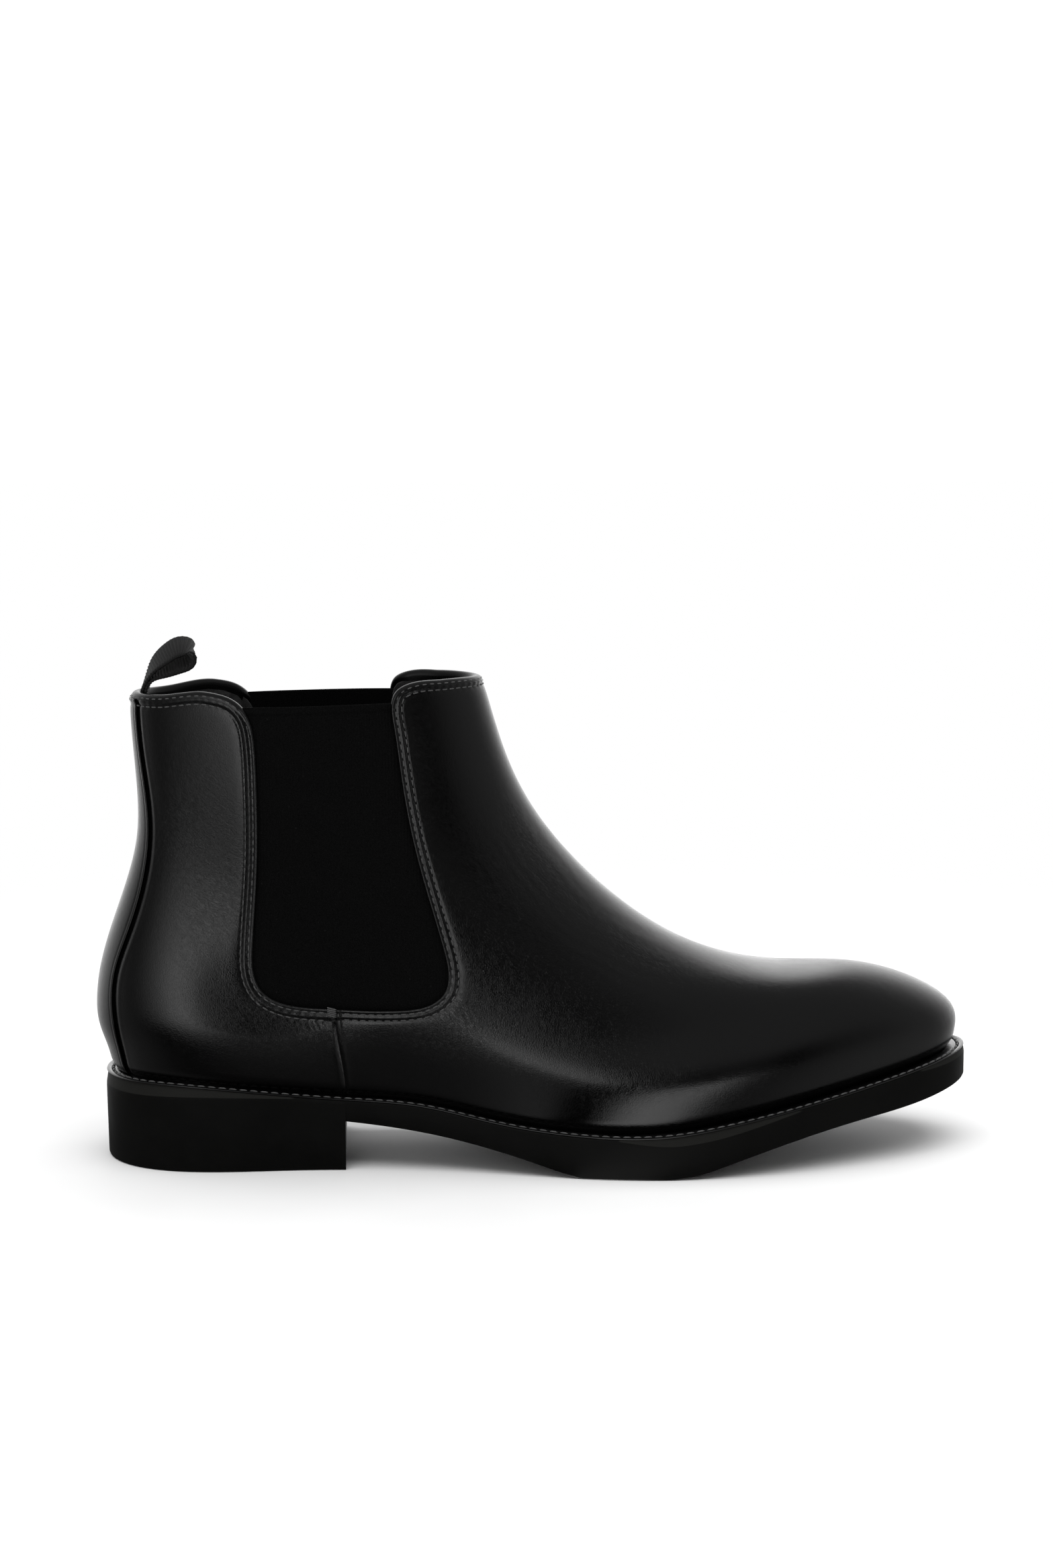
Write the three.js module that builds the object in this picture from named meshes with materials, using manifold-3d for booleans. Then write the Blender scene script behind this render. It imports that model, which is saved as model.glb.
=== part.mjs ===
// Chelsea boot for a right foot, EU size 42, as separate pieces.
// Millimetres, +Z up, toe towards +X, outer (lateral) side towards -Y.
// The pieces are modelled with x = 0 at the back of the sole and z = 0 on the ground;
// the group at the end moves the origin under the middle of the boot.
import * as THREE from 'three';
import { mergeVertices } from 'three/addons/utils/BufferGeometryUtils.js';
import Module from 'manifold-3d';

const wasm = await Module();
wasm.setup();

// ---------------------------------------------------------------- driving dimensions
const SOLE_LENGTH = 305;
const HEEL_BREAST_X = 84;          // front face of the heel block
const HEEL_TAPER = 0.5;            // how far the heel's bottom edge sits inside its top edge
const GAP = 0.3;                   // clearance between neighbouring pieces
const WELT_THICKNESS = 3;
const WELT_WIDTH = 12;
const LEATHER = 1.4;               // outer leather
const MID_LAYER = 1.1;             // elastic, toe puff and heel counter
const LINING = 0.8;
const LASTING_MARGIN = 10;         // leather turned in over the welt
const BOARD_THICKNESS = 2;
const BOARD_INSET = 9.3;           // from the sole's outline
const FOOTBED_THICKNESS = 3;
const FOOTBED_INSET = 9.6;
const HEEL_PAD_THICKNESS = 1;
const HEEL_PAD = { x: 48, halfLength: 34, halfWidth: 21 };
const BINDING_HEIGHT = 2.6;
const GORE_SEAM = 6;               // elastic hidden under the leather on each side
const GORE_TOP_Z = 160.4;
const GORE_TOP_FALL = 1.2;         // how far the gore's top edge falls towards the back
const LINING_SETBACK = 2;          // how far the lining stops short of the leather's edge at the gore
const TOE_SHIFT = 6;               // the toe turns in towards the other foot
const NAIL_RADIUS = 1;
const NAIL_LENGTH = 21;
const RIVET_RADIUS = 1.6;
const SHANK_WIDTH = 14;
const SHANK_THICKNESS = 1.2;
const LOOP_WIDTH = 14;
const LOOP_THICKNESS = 1.4;
const LOOP_ANCHOR = { front: 30, bottom: 142, top: 159.6 };
const RIBS = 40;                   // facets round the upper
const ROWS = [0, 0.05, 0.11, 0.18, 0.26, 0.35, 0.45, 0.55, 0.66, 0.77, 0.88, 1];
const COLLAR_PLANE = 172;          // the upper is made up to here, then trimmed
const FOOT_ROWS = 0.12;            // the rows over which a layer is lifted onto what it stands on
const CLEAR_Y = 90;                // well outside the boot on either side
const CLEAR_X = [-20, 330];        // well behind and in front of it

// depths of the layers below the outer surface
const MID_OUTSIDE = LEATHER + GAP;
const MID_INSIDE = MID_OUTSIDE + MID_LAYER;
const LINING_OUTSIDE = MID_INSIDE + GAP;
const LINING_INSIDE = LINING_OUTSIDE + LINING;
// heights of the bottom stack above the feather line, which is the welt's top
const MARGIN_BOTTOM = 2 * GAP;      // the facets of the leather and the welt differ a little
const MARGIN_TOP = MARGIN_BOTTOM + LEATHER;
const BOARD_BOTTOM = MARGIN_TOP + 2 * GAP;
const BOARD_TOP = BOARD_BOTTOM + BOARD_THICKNESS;
const FOOTBED_BOTTOM = BOARD_TOP + GAP;
const FOOTBED_TOP = FOOTBED_BOTTOM + FOOTBED_THICKNESS;
const PAD_BOTTOM = FOOTBED_TOP + GAP;
const PAD_TOP = PAD_BOTTOM + HEEL_PAD_THICKNESS;
const SOLE_TOP = -WELT_THICKNESS - GAP;
const FILLER_BOTTOM = -WELT_THICKNESS;
const SHANK_BOTTOM = FILLER_BOTTOM + 0.7;

// ---------------------------------------------------------------- curves
/** Smooth curve through [position, value] pairs, held level past both ends. */
function curveThrough(points) {
  const secant = (i) => (points[i + 1][1] - points[i][1]) / (points[i + 1][0] - points[i][0]);
  const slopes = points.map((point, i) => {
    if (i === 0) return secant(0);
    if (i === points.length - 1) return secant(i - 1);
    const before = point[0] - points[i - 1][0];
    const after = points[i + 1][0] - point[0];
    return (secant(i - 1) * after + secant(i) * before) / (before + after);
  });
  return (x) => {
    if (x <= points[0][0]) return points[0][1];
    if (x >= points[points.length - 1][0]) return points[points.length - 1][1];
    let i = 0;
    while (x > points[i + 1][0]) i += 1;
    const span = points[i + 1][0] - points[i][0];
    const s = (x - points[i][0]) / span;
    const a = (1 + 2 * s) * (1 - s) ** 2 * points[i][1] + s * s * (3 - 2 * s) * points[i + 1][1];
    return a + s * (1 - s) ** 2 * span * slopes[i] - s * s * (1 - s) * span * slopes[i + 1];
  };
}

/** Curve through values evenly spaced from the toe (angle 0) to the heel (angle PI). */
const roundTheFoot = (values) => curveThrough(values.map((v, i) => [i * Math.PI / (values.length - 1), v]));

// Height of the feather line, where upper and welt meet, along the boot.
const featherHeight = curveThrough([[0, 30.4], [25, 30.6], [50, 28.4], [83, 25.1], [110, 23.1], [133, 18.7],
  [150, 16.2], [175, 14.7], [195, 15.4], [215, 18.4], [257, 25.9], [305, 35]]);
// Underside of the waist and forepart.
const treadHeight = curveThrough([[84, 17], [110, 13.6], [134, 8.5], [152, 3.4], [164, 0], [194, 0], [204, 1.4],
  [215, 4.6], [236, 10.6], [259, 15.3], [282, 18.6], [305, 23.4]]);

// Half widths of the sole from toe to heel; the width at an angle is this times its sine.
const SOLE_HALF_WIDTHS = {
  lateral: roundTheFoot([60, 58.5, 57, 59.5, 54.5, 41, 38.5, 53, 67.5, 72.5]),
  medial: roundTheFoot([60, 58, 56, 54.5, 43.5, 28.5, 34, 52.5, 67.5, 72.5]),
};

// Half widths of the upper, as rows from the feather line (0) to the collar (1).
const ANKLE_ROWS = [
  [0.75, [34, 33.8, 33.5, 33, 32.5, 32, 31.5, 32.5, 36, 38]],
  [1, [29.5, 29.3, 29, 28.5, 28, 28, 28, 28.5, 30, 31]],
];
const UPPER_WIDTH_ROWS = {
  lateral: [
    [0, [53, 52.5, 51.8, 54.7, 50, 37.2, 35, 49.5, 63.7, 68.2]],
    [0.12, [52, 52.5, 53, 56, 51.5, 40, 37.5, 52, 65.5, 70]],
    [0.3, [54, 53, 50.5, 48.5, 44, 38.5, 36, 47, 60, 66]],
    [0.5, [43, 42.5, 41.5, 40, 37.5, 35, 33.5, 38, 47, 53]],
    ...ANKLE_ROWS,
  ],
  medial: [
    [0, [53, 52, 51, 50, 39, 24.5, 30.5, 49, 63.7, 68.2]],
    [0.12, [52, 52, 52, 51.5, 42.5, 29, 33, 51, 65.5, 70]],
    [0.3, [54, 52.5, 49.5, 46, 41, 34, 34, 46, 60, 66]],
    [0.5, [43, 42.5, 41.5, 39.5, 37, 34.5, 33, 37.5, 47, 53]],
    ...ANKLE_ROWS,
  ],
};

/** Half width of the upper on one side, at an angle and a row. */
function upperHalfWidth(side) {
  const rows = UPPER_WIDTH_ROWS[side].map(([row, values]) => [row, roundTheFoot(values)]);
  return (angle, row) => curveThrough(rows.map(([at, width]) => [at, width(angle)]))(row);
}
const UPPER_HALF_WIDTHS = { lateral: upperHalfWidth('lateral'), medial: upperHalfWidth('medial') };

// The front ridge from the toe's feather over the vamp to the collar: row, x, z.
const RIDGE = [[0, 300.3, 34.1], [0.06, 301.6, 41.5], [0.12, 300.4, 48], [0.2, 289.8, 56.4], [0.3, 264, 63.8],
  [0.38, 241, 63.7], [0.46, 213.5, 69.4], [0.55, 186.3, 83.8], [0.66, 159.8, 108.2], [0.78, 143, 134.5],
  [0.9, 134.7, 159], [1, 130.6, COLLAR_PLANE]];
// The back from the heel's feather to the collar: row, x, height above the feather.
const BACK = [[0, 3.2, 0], [0.06, 1.2, 8], [0.12, -1.5, 16], [0.2, -2.2, 26], [0.3, -0.4, 38], [0.4, 3.7, 51.5],
  [0.5, 8.8, 66], [0.6, 12.5, 81], [0.75, 12.5, 104], [0.9, 11, 127], [1, 11.2, COLLAR_PLANE - 30.5]];
// Height of the sides above the feather, by row.
const sideRise = curveThrough([[0, 0], [0.06, 9], [0.12, 16.5], [0.2, 23.5], [0.3, 32.5], [0.4, 46], [0.5, 61],
  [0.6, 77], [0.75, 104], [0.9, 130], [1, COLLAR_PLANE - 26.5]]);
const ridgeX = curveThrough(RIDGE.map(([row, x]) => [row, x]));
const ridgeZ = curveThrough(RIDGE.map(([row, , z]) => [row, z]));
const backX = curveThrough(BACK.map(([row, x]) => [row, x]));
const backRise = curveThrough(BACK.map(([row, , rise]) => [row, rise]));

const towardsToe = (angle) => (1 + Math.cos(angle)) / 2;

/** Point of the upper's outer surface; angle 0 is the ridge, PI the back, negative angles the lateral side. */
function upperPoint(angle, row) {
  const turn = Math.abs(angle);
  const g = towardsToe(angle);
  const x = backX(row) + (ridgeX(row) - backX(row)) * g;
  const halfWidth = UPPER_HALF_WIDTHS[angle < 0 ? 'lateral' : 'medial'](turn, row);
  const ridgeRise = ridgeZ(row) - featherHeight(ridgeX(row));
  const end = turn < Math.PI / 2 ? ridgeRise : backRise(row);
  const rise = sideRise(row) + (end - sideRise(row)) * Math.cos(angle) ** 4;
  const y = TOE_SHIFT * g * g * (1 - row) ** 2 + halfWidth * Math.sin(angle);
  return new THREE.Vector3(x, y, featherHeight(x) + rise);
}

/** Point at a depth below the upper's outer surface. */
function upperPointAtDepth(angle, row, depth) {
  const step = 1e-3;
  const wrap = (a) => (a > Math.PI ? a - 2 * Math.PI : a < -Math.PI ? a + 2 * Math.PI : a);
  const alongAngle = upperPoint(wrap(angle + step), row).sub(upperPoint(wrap(angle - step), row));
  const low = Math.max(row - step, 0);
  const alongRow = upperPoint(angle, Math.min(row + step, 1)).sub(upperPoint(angle, low));
  const outward = alongAngle.cross(alongRow).normalize();
  return upperPoint(angle, row).addScaledVector(outward, -depth);
}

/** Point of the sole's outline in plan, moved in by an inset. */
function solePoint(angle, inset) {
  const at = (a) => {
    const g = towardsToe(a);
    const turn = Math.abs(Math.atan2(Math.sin(a), Math.cos(a)));
    const halfWidth = SOLE_HALF_WIDTHS[Math.sin(a) < 0 ? 'lateral' : 'medial'](turn);
    return new THREE.Vector2(SOLE_LENGTH * g, TOE_SHIFT * g * g + halfWidth * Math.sin(a));
  };
  const tangent = at(angle + 1e-3).sub(at(angle - 1e-3)).normalize();
  return at(angle).add(new THREE.Vector2(-tangent.y, tangent.x).multiplyScalar(inset));
}

/** Closed outline of the sole, moved in by an inset. */
function soleOutline(inset, count = 44) {
  return Array.from({ length: count }, (_, i) => solePoint(2 * Math.PI * i / count, inset));
}

// ---------------------------------------------------------------- solids
/** Manifold solid from a closed three.js geometry. */
function solid(geometry) {
  const bare = geometry.clone();
  bare.deleteAttribute('normal');
  bare.deleteAttribute('uv');
  const merged = mergeVertices(bare, 1e-4);
  const vertProperties = new Float32Array(merged.attributes.position.array);
  const triVerts = new Uint32Array(merged.index.array);
  return new wasm.Manifold(new wasm.Mesh({ numProp: 3, vertProperties, triVerts }));
}

/** three.js geometry from a manifold solid. */
function toGeometry(piece) {
  const mesh = piece.getMesh();
  const geometry = new THREE.BufferGeometry();
  geometry.setAttribute('position', new THREE.BufferAttribute(new Float32Array(mesh.vertProperties), 3));
  geometry.setIndex(new THREE.BufferAttribute(new Uint32Array(mesh.triVerts), 1));
  geometry.computeVertexNormals();
  return geometry;
}

/** Prism of an [x, z] side-view outline between two y positions. */
function sidePrism(points, yLow = -CLEAR_Y, yHigh = CLEAR_Y) {
  const shape = new THREE.Shape(points.map(([x, z]) => new THREE.Vector2(x, z)));
  const geometry = new THREE.ExtrudeGeometry(shape, { depth: yHigh - yLow, bevelEnabled: false });
  geometry.rotateX(Math.PI / 2);
  geometry.translate(0, yHigh, 0);
  return solid(geometry);
}

/** Prism of an [x, y] plan outline between two heights. */
function planPrism(points, zLow = -5, zHigh = 120) {
  const shape = new THREE.Shape(points);
  const geometry = new THREE.ExtrudeGeometry(shape, { depth: zHigh - zLow, bevelEnabled: false });
  geometry.translate(0, 0, zLow);
  return solid(geometry);
}

/** Upright cylinder with its foot at a height. */
function peg(x, y, zLow, height, radius) {
  const geometry = new THREE.CylinderGeometry(radius, radius, height, 10);
  geometry.rotateX(Math.PI / 2);
  geometry.translate(x, y, zLow + height / 2);
  return solid(geometry);
}

/** Layer that follows the feather line, between two heights above it. */
function featherLayer(low, high) {
  const steps = 24;
  const [from, to] = [-10, SOLE_LENGTH + 10];
  const stations = Array.from({ length: steps + 1 }, (_, i) => from + (to - from) * i / steps);
  const under = stations.map((x) => [x, featherHeight(x) + low]);
  const over = stations.map((x) => [x, featherHeight(x) + high]).reverse();
  return sidePrism([...under, ...over]);
}

/** Sheet of the bottom stack: the sole's outline moved in, between two heights above the feather line. */
const bottomSheet = (inset, low, high) => planPrism(soleOutline(inset)).intersect(featherLayer(low, high));

/** Closed ring between two depths of the upper, at a height above the feather, with a turned-in margin. */
function upperRing(outside, inside, foot, margin) {
  const sections = Array.from({ length: RIBS }, (_, i) => {
    const angle = -Math.PI + 2 * Math.PI * (i + 0.5) / RIBS;
    const raise = (point, row) => point.setZ(point.z + foot * Math.max(0, 1 - row / FOOT_ROWS) ** 2);
    const outer = ROWS.map((row) => raise(upperPointAtDepth(angle, row, outside), row));
    const inner = ROWS.map((row) => raise(upperPointAtDepth(angle, row, inside), row)).reverse();
    const level = (point, above) => point.setZ(featherHeight(point.x) + above);
    outer[0] = level(outer[0], foot);
    const innerFoot = inner[inner.length - 1];
    if (!margin) {
      level(innerFoot, foot);
      return [...outer, ...inner];
    }
    const across = innerFoot.clone().sub(outer[0]).setZ(0).normalize();
    const edge = outer[0].clone().addScaledVector(across, margin);
    level(innerFoot, foot + inside - outside);
    return [...outer, ...inner, level(edge.clone(), foot + inside - outside), level(edge.clone(), foot)];
  });
  const perSection = sections[0].length;
  const index = [];
  for (let i = 0; i < RIBS; i += 1) {
    for (let k = 0; k < perSection; k += 1) {
      const a = i * perSection + k;
      const b = i * perSection + (k + 1) % perSection;
      const c = ((i + 1) % RIBS) * perSection + k;
      const d = ((i + 1) % RIBS) * perSection + (k + 1) % perSection;
      // inside and outside quads share one diagonal, so that nested layers keep their gap
      if (k < ROWS.length) index.push(a, c, b, b, c, d);
      else index.push(a, c, d, a, d, b);
    }
  }
  const geometry = new THREE.BufferGeometry().setFromPoints(sections.flat());
  geometry.setIndex(index);
  return solid(geometry);
}

// ---------------------------------------------------------------- seams, as [x, z] side-view curves
/** Points along a smooth curve through a few corners. */
function spline(points, count) {
  const curve = new THREE.SplineCurve(points.map(([x, z]) => new THREE.Vector2(x, z)));
  return curve.getPoints(count).map((p) => [p.x, p.y]);
}
/** The same curve moved sideways, to the left of its direction. */
function shifted(points, distance) {
  return points.map(([x, z], i) => {
    const [x0, z0] = points[Math.max(i - 1, 0)];
    const [x1, z1] = points[Math.min(i + 1, points.length - 1)];
    const length = Math.hypot(x1 - x0, z1 - z0);
    return [x - distance * (z1 - z0) / length, z + distance * (x1 - x0) / length];
  });
}

const SIDE_SEAM = [[84.2, 18], [83.4, 34], [81.8, 44], [80.4, 56.4]];
const GORE_BOTTOM_FRONT = spline([[80.4, 56.4], [92, 56.1], [104, 56.6], [113, 58.7], [118, 63], [119.2, 69.5],
  [117.8, 77]], 14);
const GORE_FRONT = spline([[117.8, 77], [112.4, 96], [107.5, 115], [103.8, 136], [101.4, 153],
  [100.8, 160]], 12);
const FRONT_COLLAR = spline([[100.8, 160], [102.3, 164.3], [106.6, 166.9], [118, 168], [131, 168.2],
  [145, 168]], 14);
const GORE_BOTTOM_REAR = spline([[80.4, 56.4], [70, 57], [61.2, 59], [55.6, 63], [53, 69.5], [52.8, 77]], 12);
const GORE_REAR = spline([[52.8, 77], [54, 96], [54.8, 115], [54.7, 133], [54, 148], [53.2, 153]], 10);
const REAR_COLLAR = spline([[53.2, 153], [50.6, 158.6], [45.6, 162.6], [38, 164.5], [30, 164.2], [22, 163],
  [12, 162.8], [0, 163]], 16);
const BACKSTAY_EDGE = spline([[13, 168], [14.6, 143], [17.4, 118], [15.2, 98], [9.6, 80], [5, 66], [4.4, 54],
  [6.2, 42], [11, 24]], 16);

// ---------------------------------------------------------------- the bottom
const MIDDLE_Y = (solePoint(2.5, 0).y + solePoint(-2.5, 0).y) / 2;
const NAIL_SPOTS = [[20, 0], [36, -15], [36, 15], [60, -14], [60, 14]].map(([x, y]) => [x, MIDDLE_Y + y]);
const SHANK_ENDS = [46, 138];
const RIVET_SPOTS = [[70, MIDDLE_Y], [124, 0.5]];
/** The shank's middle line runs through both rivets. */
function shankY(x) {
  const [[rearX, rearY], [frontX, frontY]] = RIVET_SPOTS;
  return rearY + (frontY - rearY) * (x - rearX) / (frontX - rearX);
}

const nailFoot = (x) => featherHeight(x) + BOARD_TOP - NAIL_LENGTH;
const nail = (x, y, extra = 0) => peg(x, y, nailFoot(x) - extra, NAIL_LENGTH + 2 * extra, NAIL_RADIUS + extra);
const rivetFoot = (x) => featherHeight(x) + FILLER_BOTTOM + 0.2;
const rivetHeight = BOARD_TOP - FILLER_BOTTOM - 0.2;
const rivet = (x, y, extra = 0) => peg(x, y, rivetFoot(x) - extra, rivetHeight + 2 * extra,
  RIVET_RADIUS + extra);
const cutBy = (piece, tools) => tools.reduce((rest, tool) => rest.subtract(tool), piece);
const nailHoles = NAIL_SPOTS.map(([x, y]) => nail(x, y, GAP));
const rivetHoles = RIVET_SPOTS.map(([x, y]) => rivet(x, y, GAP));

function shankBlank(extra) {
  const half = SHANK_WIDTH / 2 + extra;
  const [x0, x1] = [SHANK_ENDS[0] - extra, SHANK_ENDS[1] + extra];
  const plan = [[x0, -half], [x1, -half * 0.8], [x1 + 4, 0], [x1, half * 0.8], [x0, half], [x0 - 4, 0]];
  const outline = planPrism(plan.map(([x, y]) => new THREE.Vector2(x, y + shankY(x))));
  return outline.intersect(featherLayer(SHANK_BOTTOM - extra, SHANK_BOTTOM + SHANK_THICKNESS + extra));
}

function unitSole() {
  const tread = [84.6, 97, 110, 122, 134, 143, 152, 158, 164, 194, 199, 204, 210, 216, 226, 235, 246, 257, 268, 280,
    293, 312];
  const top = Array.from({ length: 24 }, (_, i) => 312 - i * 14);
  const heelBottom = [[HEEL_TAPER, 0], [HEEL_BREAST_X - 0.8, 0]];
  const side = sidePrism([
    [-8, 12], [-8, 0], ...heelBottom, [HEEL_BREAST_X, 14], ...tread.map((x) => [x, treadHeight(x)]),
    ...top.map((x) => [x, featherHeight(x) + SOLE_TOP]),
  ]);
  return cutBy(side.intersect(planPrism(soleOutline(0))), [...nailHoles, ...rivetHoles]);
}

function welt() {
  const ring = planPrism(soleOutline(0)).subtract(planPrism(soleOutline(WELT_WIDTH)));
  return ring.intersect(featherLayer(-WELT_THICKNESS, 0));
}

function bottomFiller() {
  const slab = bottomSheet(WELT_WIDTH + GAP, FILLER_BOTTOM, 0);
  const groove = shankBlank(GAP).add(shankBlank(GAP).translate([0, 0, 2]));
  return cutBy(slab.subtract(groove), [...nailHoles, ...rivetHoles]);
}

const insoleBoard = () => cutBy(bottomSheet(BOARD_INSET, BOARD_BOTTOM, BOARD_TOP),
  [...nailHoles, ...rivetHoles]);
const footbed = () => bottomSheet(FOOTBED_INSET, FOOTBED_BOTTOM, FOOTBED_TOP);
const heelPad = () => {
  const { x, halfLength, halfWidth } = HEEL_PAD;
  const oval = new THREE.Shape().absellipse(x, MIDDLE_Y, halfLength, halfWidth, 0, Math.PI * 2).getPoints(14);
  return planPrism(oval.slice(0, -1)).intersect(featherLayer(PAD_BOTTOM, PAD_TOP));
};

// ---------------------------------------------------------------- the upper
const leatherRing = upperRing(0, LEATHER, MARGIN_BOTTOM, LASTING_MARGIN);
const midRing = upperRing(MID_OUTSIDE, MID_INSIDE, BOARD_BOTTOM, 0);
const liningRing = upperRing(LINING_OUTSIDE, LINING_INSIDE, BOARD_BOTTOM, 0);
const bindingRing = upperRing(0, LINING_INSIDE, BOARD_BOTTOM, 0);

const HALF_GAP = GAP / 2;
const SIDES = { lateral: [-CLEAR_Y, -HALF_GAP], medial: [HALF_GAP, CLEAR_Y] };
const [BEHIND, AHEAD] = CLEAR_X;

/** One curve from several that follow each other, each starting where the one before ends. */
const joined = (first, ...others) => [...first, ...others.flatMap((curve) => curve.slice(1))];
const vampEdge = joined(SIDE_SEAM, GORE_BOTTOM_FRONT, GORE_FRONT, FRONT_COLLAR);
const quarterEdge = joined(SIDE_SEAM, GORE_BOTTOM_REAR, GORE_REAR, REAR_COLLAR);

/** Region in front of the vamp's edge. */
const vampRegion = (gap) => sidePrism([...shifted(vampEdge, -gap), [AHEAD, 166], [AHEAD, 5], [84.5, 5]]);
/** Region behind the side seam and the gore, below the rear collar. */
const quarterRegion = (gap, yLow, yHigh) => sidePrism([...shifted(quarterEdge, gap), [BEHIND, 163], [BEHIND, 5],
  [84, 5]], yLow, yHigh);
const backRegion = (grow) => sidePrism([...shifted(BACKSTAY_EDGE, grow), [BEHIND, 24], [BEHIND, 168]]);

/** Band along a collar edge, as high as the binding. */
function collarBand(edge, grow) {
  const top = edge.map(([x, z]) => [x, z + grow]);
  const bottom = edge.map(([x, z]) => [x, z - BINDING_HEIGHT - grow]).reverse();
  return sidePrism([...top, ...bottom]);
}
const frontBand = (grow) => collarBand(FRONT_COLLAR.filter(([x]) => x > 103 - grow), grow);
const rearBand = (grow) => collarBand(REAR_COLLAR.filter(([x]) => x < 49 + grow), grow);

const collarCut = [frontBand(GAP), rearBand(GAP)];
const { front, bottom, top } = LOOP_ANCHOR;
const anchorBlock = sidePrism([[0, bottom], [front, bottom], [front, top], [0, top]],
  -LOOP_WIDTH / 2, LOOP_WIDTH / 2);

const vamp = () => cutBy(leatherRing.intersect(vampRegion(HALF_GAP)), collarCut);
const quarter = (side) => cutBy(leatherRing.intersect(quarterRegion(HALF_GAP, ...SIDES[side])),
  [...collarCut, backRegion(GAP)]);
const backstay = () => cutBy(
  leatherRing.intersect(backRegion(0)).intersect(quarterRegion(HALF_GAP)), collarCut);

function gore(side) {
  const front = shifted(joined(GORE_BOTTOM_FRONT, GORE_FRONT), -GORE_SEAM);
  const rear = shifted(joined(GORE_BOTTOM_REAR, GORE_REAR), GORE_SEAM).reverse();
  const frontTop = [front[front.length - 1][0] - 0.5, GORE_TOP_Z];
  const rearTop = [rear[0][0] + 0.5, GORE_TOP_Z - GORE_TOP_FALL];
  const window = sidePrism([...front.slice(1, -1), frontTop, rearTop, ...rear.slice(1, -1)], ...SIDES[side]);
  return cutBy(midRing.intersect(window), collarCut);
}

/** Opening in the lining behind the gore, between the rows that hold it. */
function liningWindow() {
  const front = shifted(joined(GORE_BOTTOM_FRONT, GORE_FRONT), -LINING_SETBACK);
  const rear = shifted(joined(GORE_BOTTOM_REAR, GORE_REAR), LINING_SETBACK).reverse();
  return sidePrism([...front, [102, 175], [53, 175], ...rear]);
}

const GRIP_EDGE = [[36, 170], [36, 120], [40, 70], [46, 20]];
const gripRegion = (grow) => sidePrism([...shifted(GRIP_EDGE, grow), [BEHIND, 20], [BEHIND, 170]]);
const liningCut = [...collarCut, liningWindow()];
const vampLining = () => cutBy(liningRing.intersect(vampRegion(HALF_GAP)), liningCut);
const quarterLining = (side) => cutBy(liningRing.intersect(quarterRegion(HALF_GAP, ...SIDES[side])),
  [...liningCut, gripRegion(GAP)]);
const heelGrip = () => cutBy(liningRing.intersect(gripRegion(0)).intersect(quarterRegion(HALF_GAP)), liningCut);

const COUNTER_OUTLINE = [[BEHIND, 5], [76, 5], [72, 30], [62, 42], [44, 48], [20, 60], [8, 66], [BEHIND, 68]];
const heelCounter = () => midRing.intersect(sidePrism(COUNTER_OUTLINE));
const toePuff = () => midRing.intersect(sidePrism([[246, 5], [AHEAD, 5], [AHEAD, 90], [258, 90]]));

const frontBinding = () => bindingRing.intersect(frontBand(0));
const rearBinding = () => bindingRing.intersect(rearBand(0));
const loopEnds = () => midRing.intersect(anchorBlock);

/** Webbing loop that stands over the back of the collar and leans forward. */
function pullLoop() {
  const path = spline([[13.7, 166.2], [15.6, 172], [20.4, 178.6], [26.6, 182], [31.8, 180.4], [33.6, 175.6],
    [30.6, 171.6], [24.6, 169.4], [18.4, 167.2], [15.4, 166]], 28);
  const strip = [...shifted(path, LOOP_THICKNESS / 2), ...shifted(path, -LOOP_THICKNESS / 2).reverse()];
  const foot = [[12.9, 165.2], [16.1, 165.2], [16.1, 166.6], [12.9, 166.6]];
  const asWide = (outline) => sidePrism(outline, -LOOP_WIDTH / 2, LOOP_WIDTH / 2);
  return asWide(strip).add(asWide(foot));
}

// ---------------------------------------------------------------- materials
const matte = (color, roughness, metalness = 0) => (
  new THREE.MeshStandardMaterial({ color, roughness, metalness }));
const MATERIALS = {
  leather: matte(0x17181a, 0.38),
  elastic: matte(0x0e0f10, 0.9),
  lining: matte(0x1b1a19, 0.8),
  rubber: matte(0x232427, 0.55),
  welt: matte(0x111214, 0.3),
  webbing: matte(0x141416, 0.9),
  board: matte(0x8d7a5c, 0.85),
  cork: matte(0x9b7447, 0.95),
  foam: matte(0x202022, 0.9),
  stiffener: matte(0xb9b2a2, 0.7),
  steel: matte(0xa8aaad, 0.35, 1),
};

// ---------------------------------------------------------------- the boot
const boot = new THREE.Group();

function addPiece(name, piece, material) {
  const mesh = new THREE.Mesh(toGeometry(piece), MATERIALS[material]);
  mesh.name = name;
  boot.add(mesh);
}

addPiece('unit_sole', unitSole(), 'rubber');
addPiece('welt', welt(), 'welt');
addPiece('bottom_filler', bottomFiller(), 'cork');
addPiece('shank', cutBy(shankBlank(0), rivetHoles), 'steel');
RIVET_SPOTS.forEach(([x, y], i) => addPiece(`shank_rivet_${['rear', 'front'][i]}`, rivet(x, y), 'steel'));
addPiece('insole_board', insoleBoard(), 'board');
NAIL_SPOTS.forEach(([x, y], i) => addPiece(`heel_nail_${i + 1}`, nail(x, y), 'steel'));
addPiece('footbed', footbed(), 'foam');
addPiece('heel_pad', heelPad(), 'lining');
addPiece('heel_counter', heelCounter(), 'stiffener');
addPiece('toe_puff', toePuff(), 'stiffener');
addPiece('vamp', vamp(), 'leather');
addPiece('vamp_lining', vampLining(), 'lining');
addPiece('backstay', backstay(), 'leather');
addPiece('heel_grip', heelGrip(), 'lining');
for (const side of Object.keys(SIDES)) {
  addPiece(`${side}_quarter`, quarter(side), 'leather');
  addPiece(`${side}_gore`, gore(side), 'elastic');
  addPiece(`${side}_quarter_lining`, quarterLining(side), 'lining');
}
addPiece('front_collar_binding', frontBinding(), 'leather');
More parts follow.
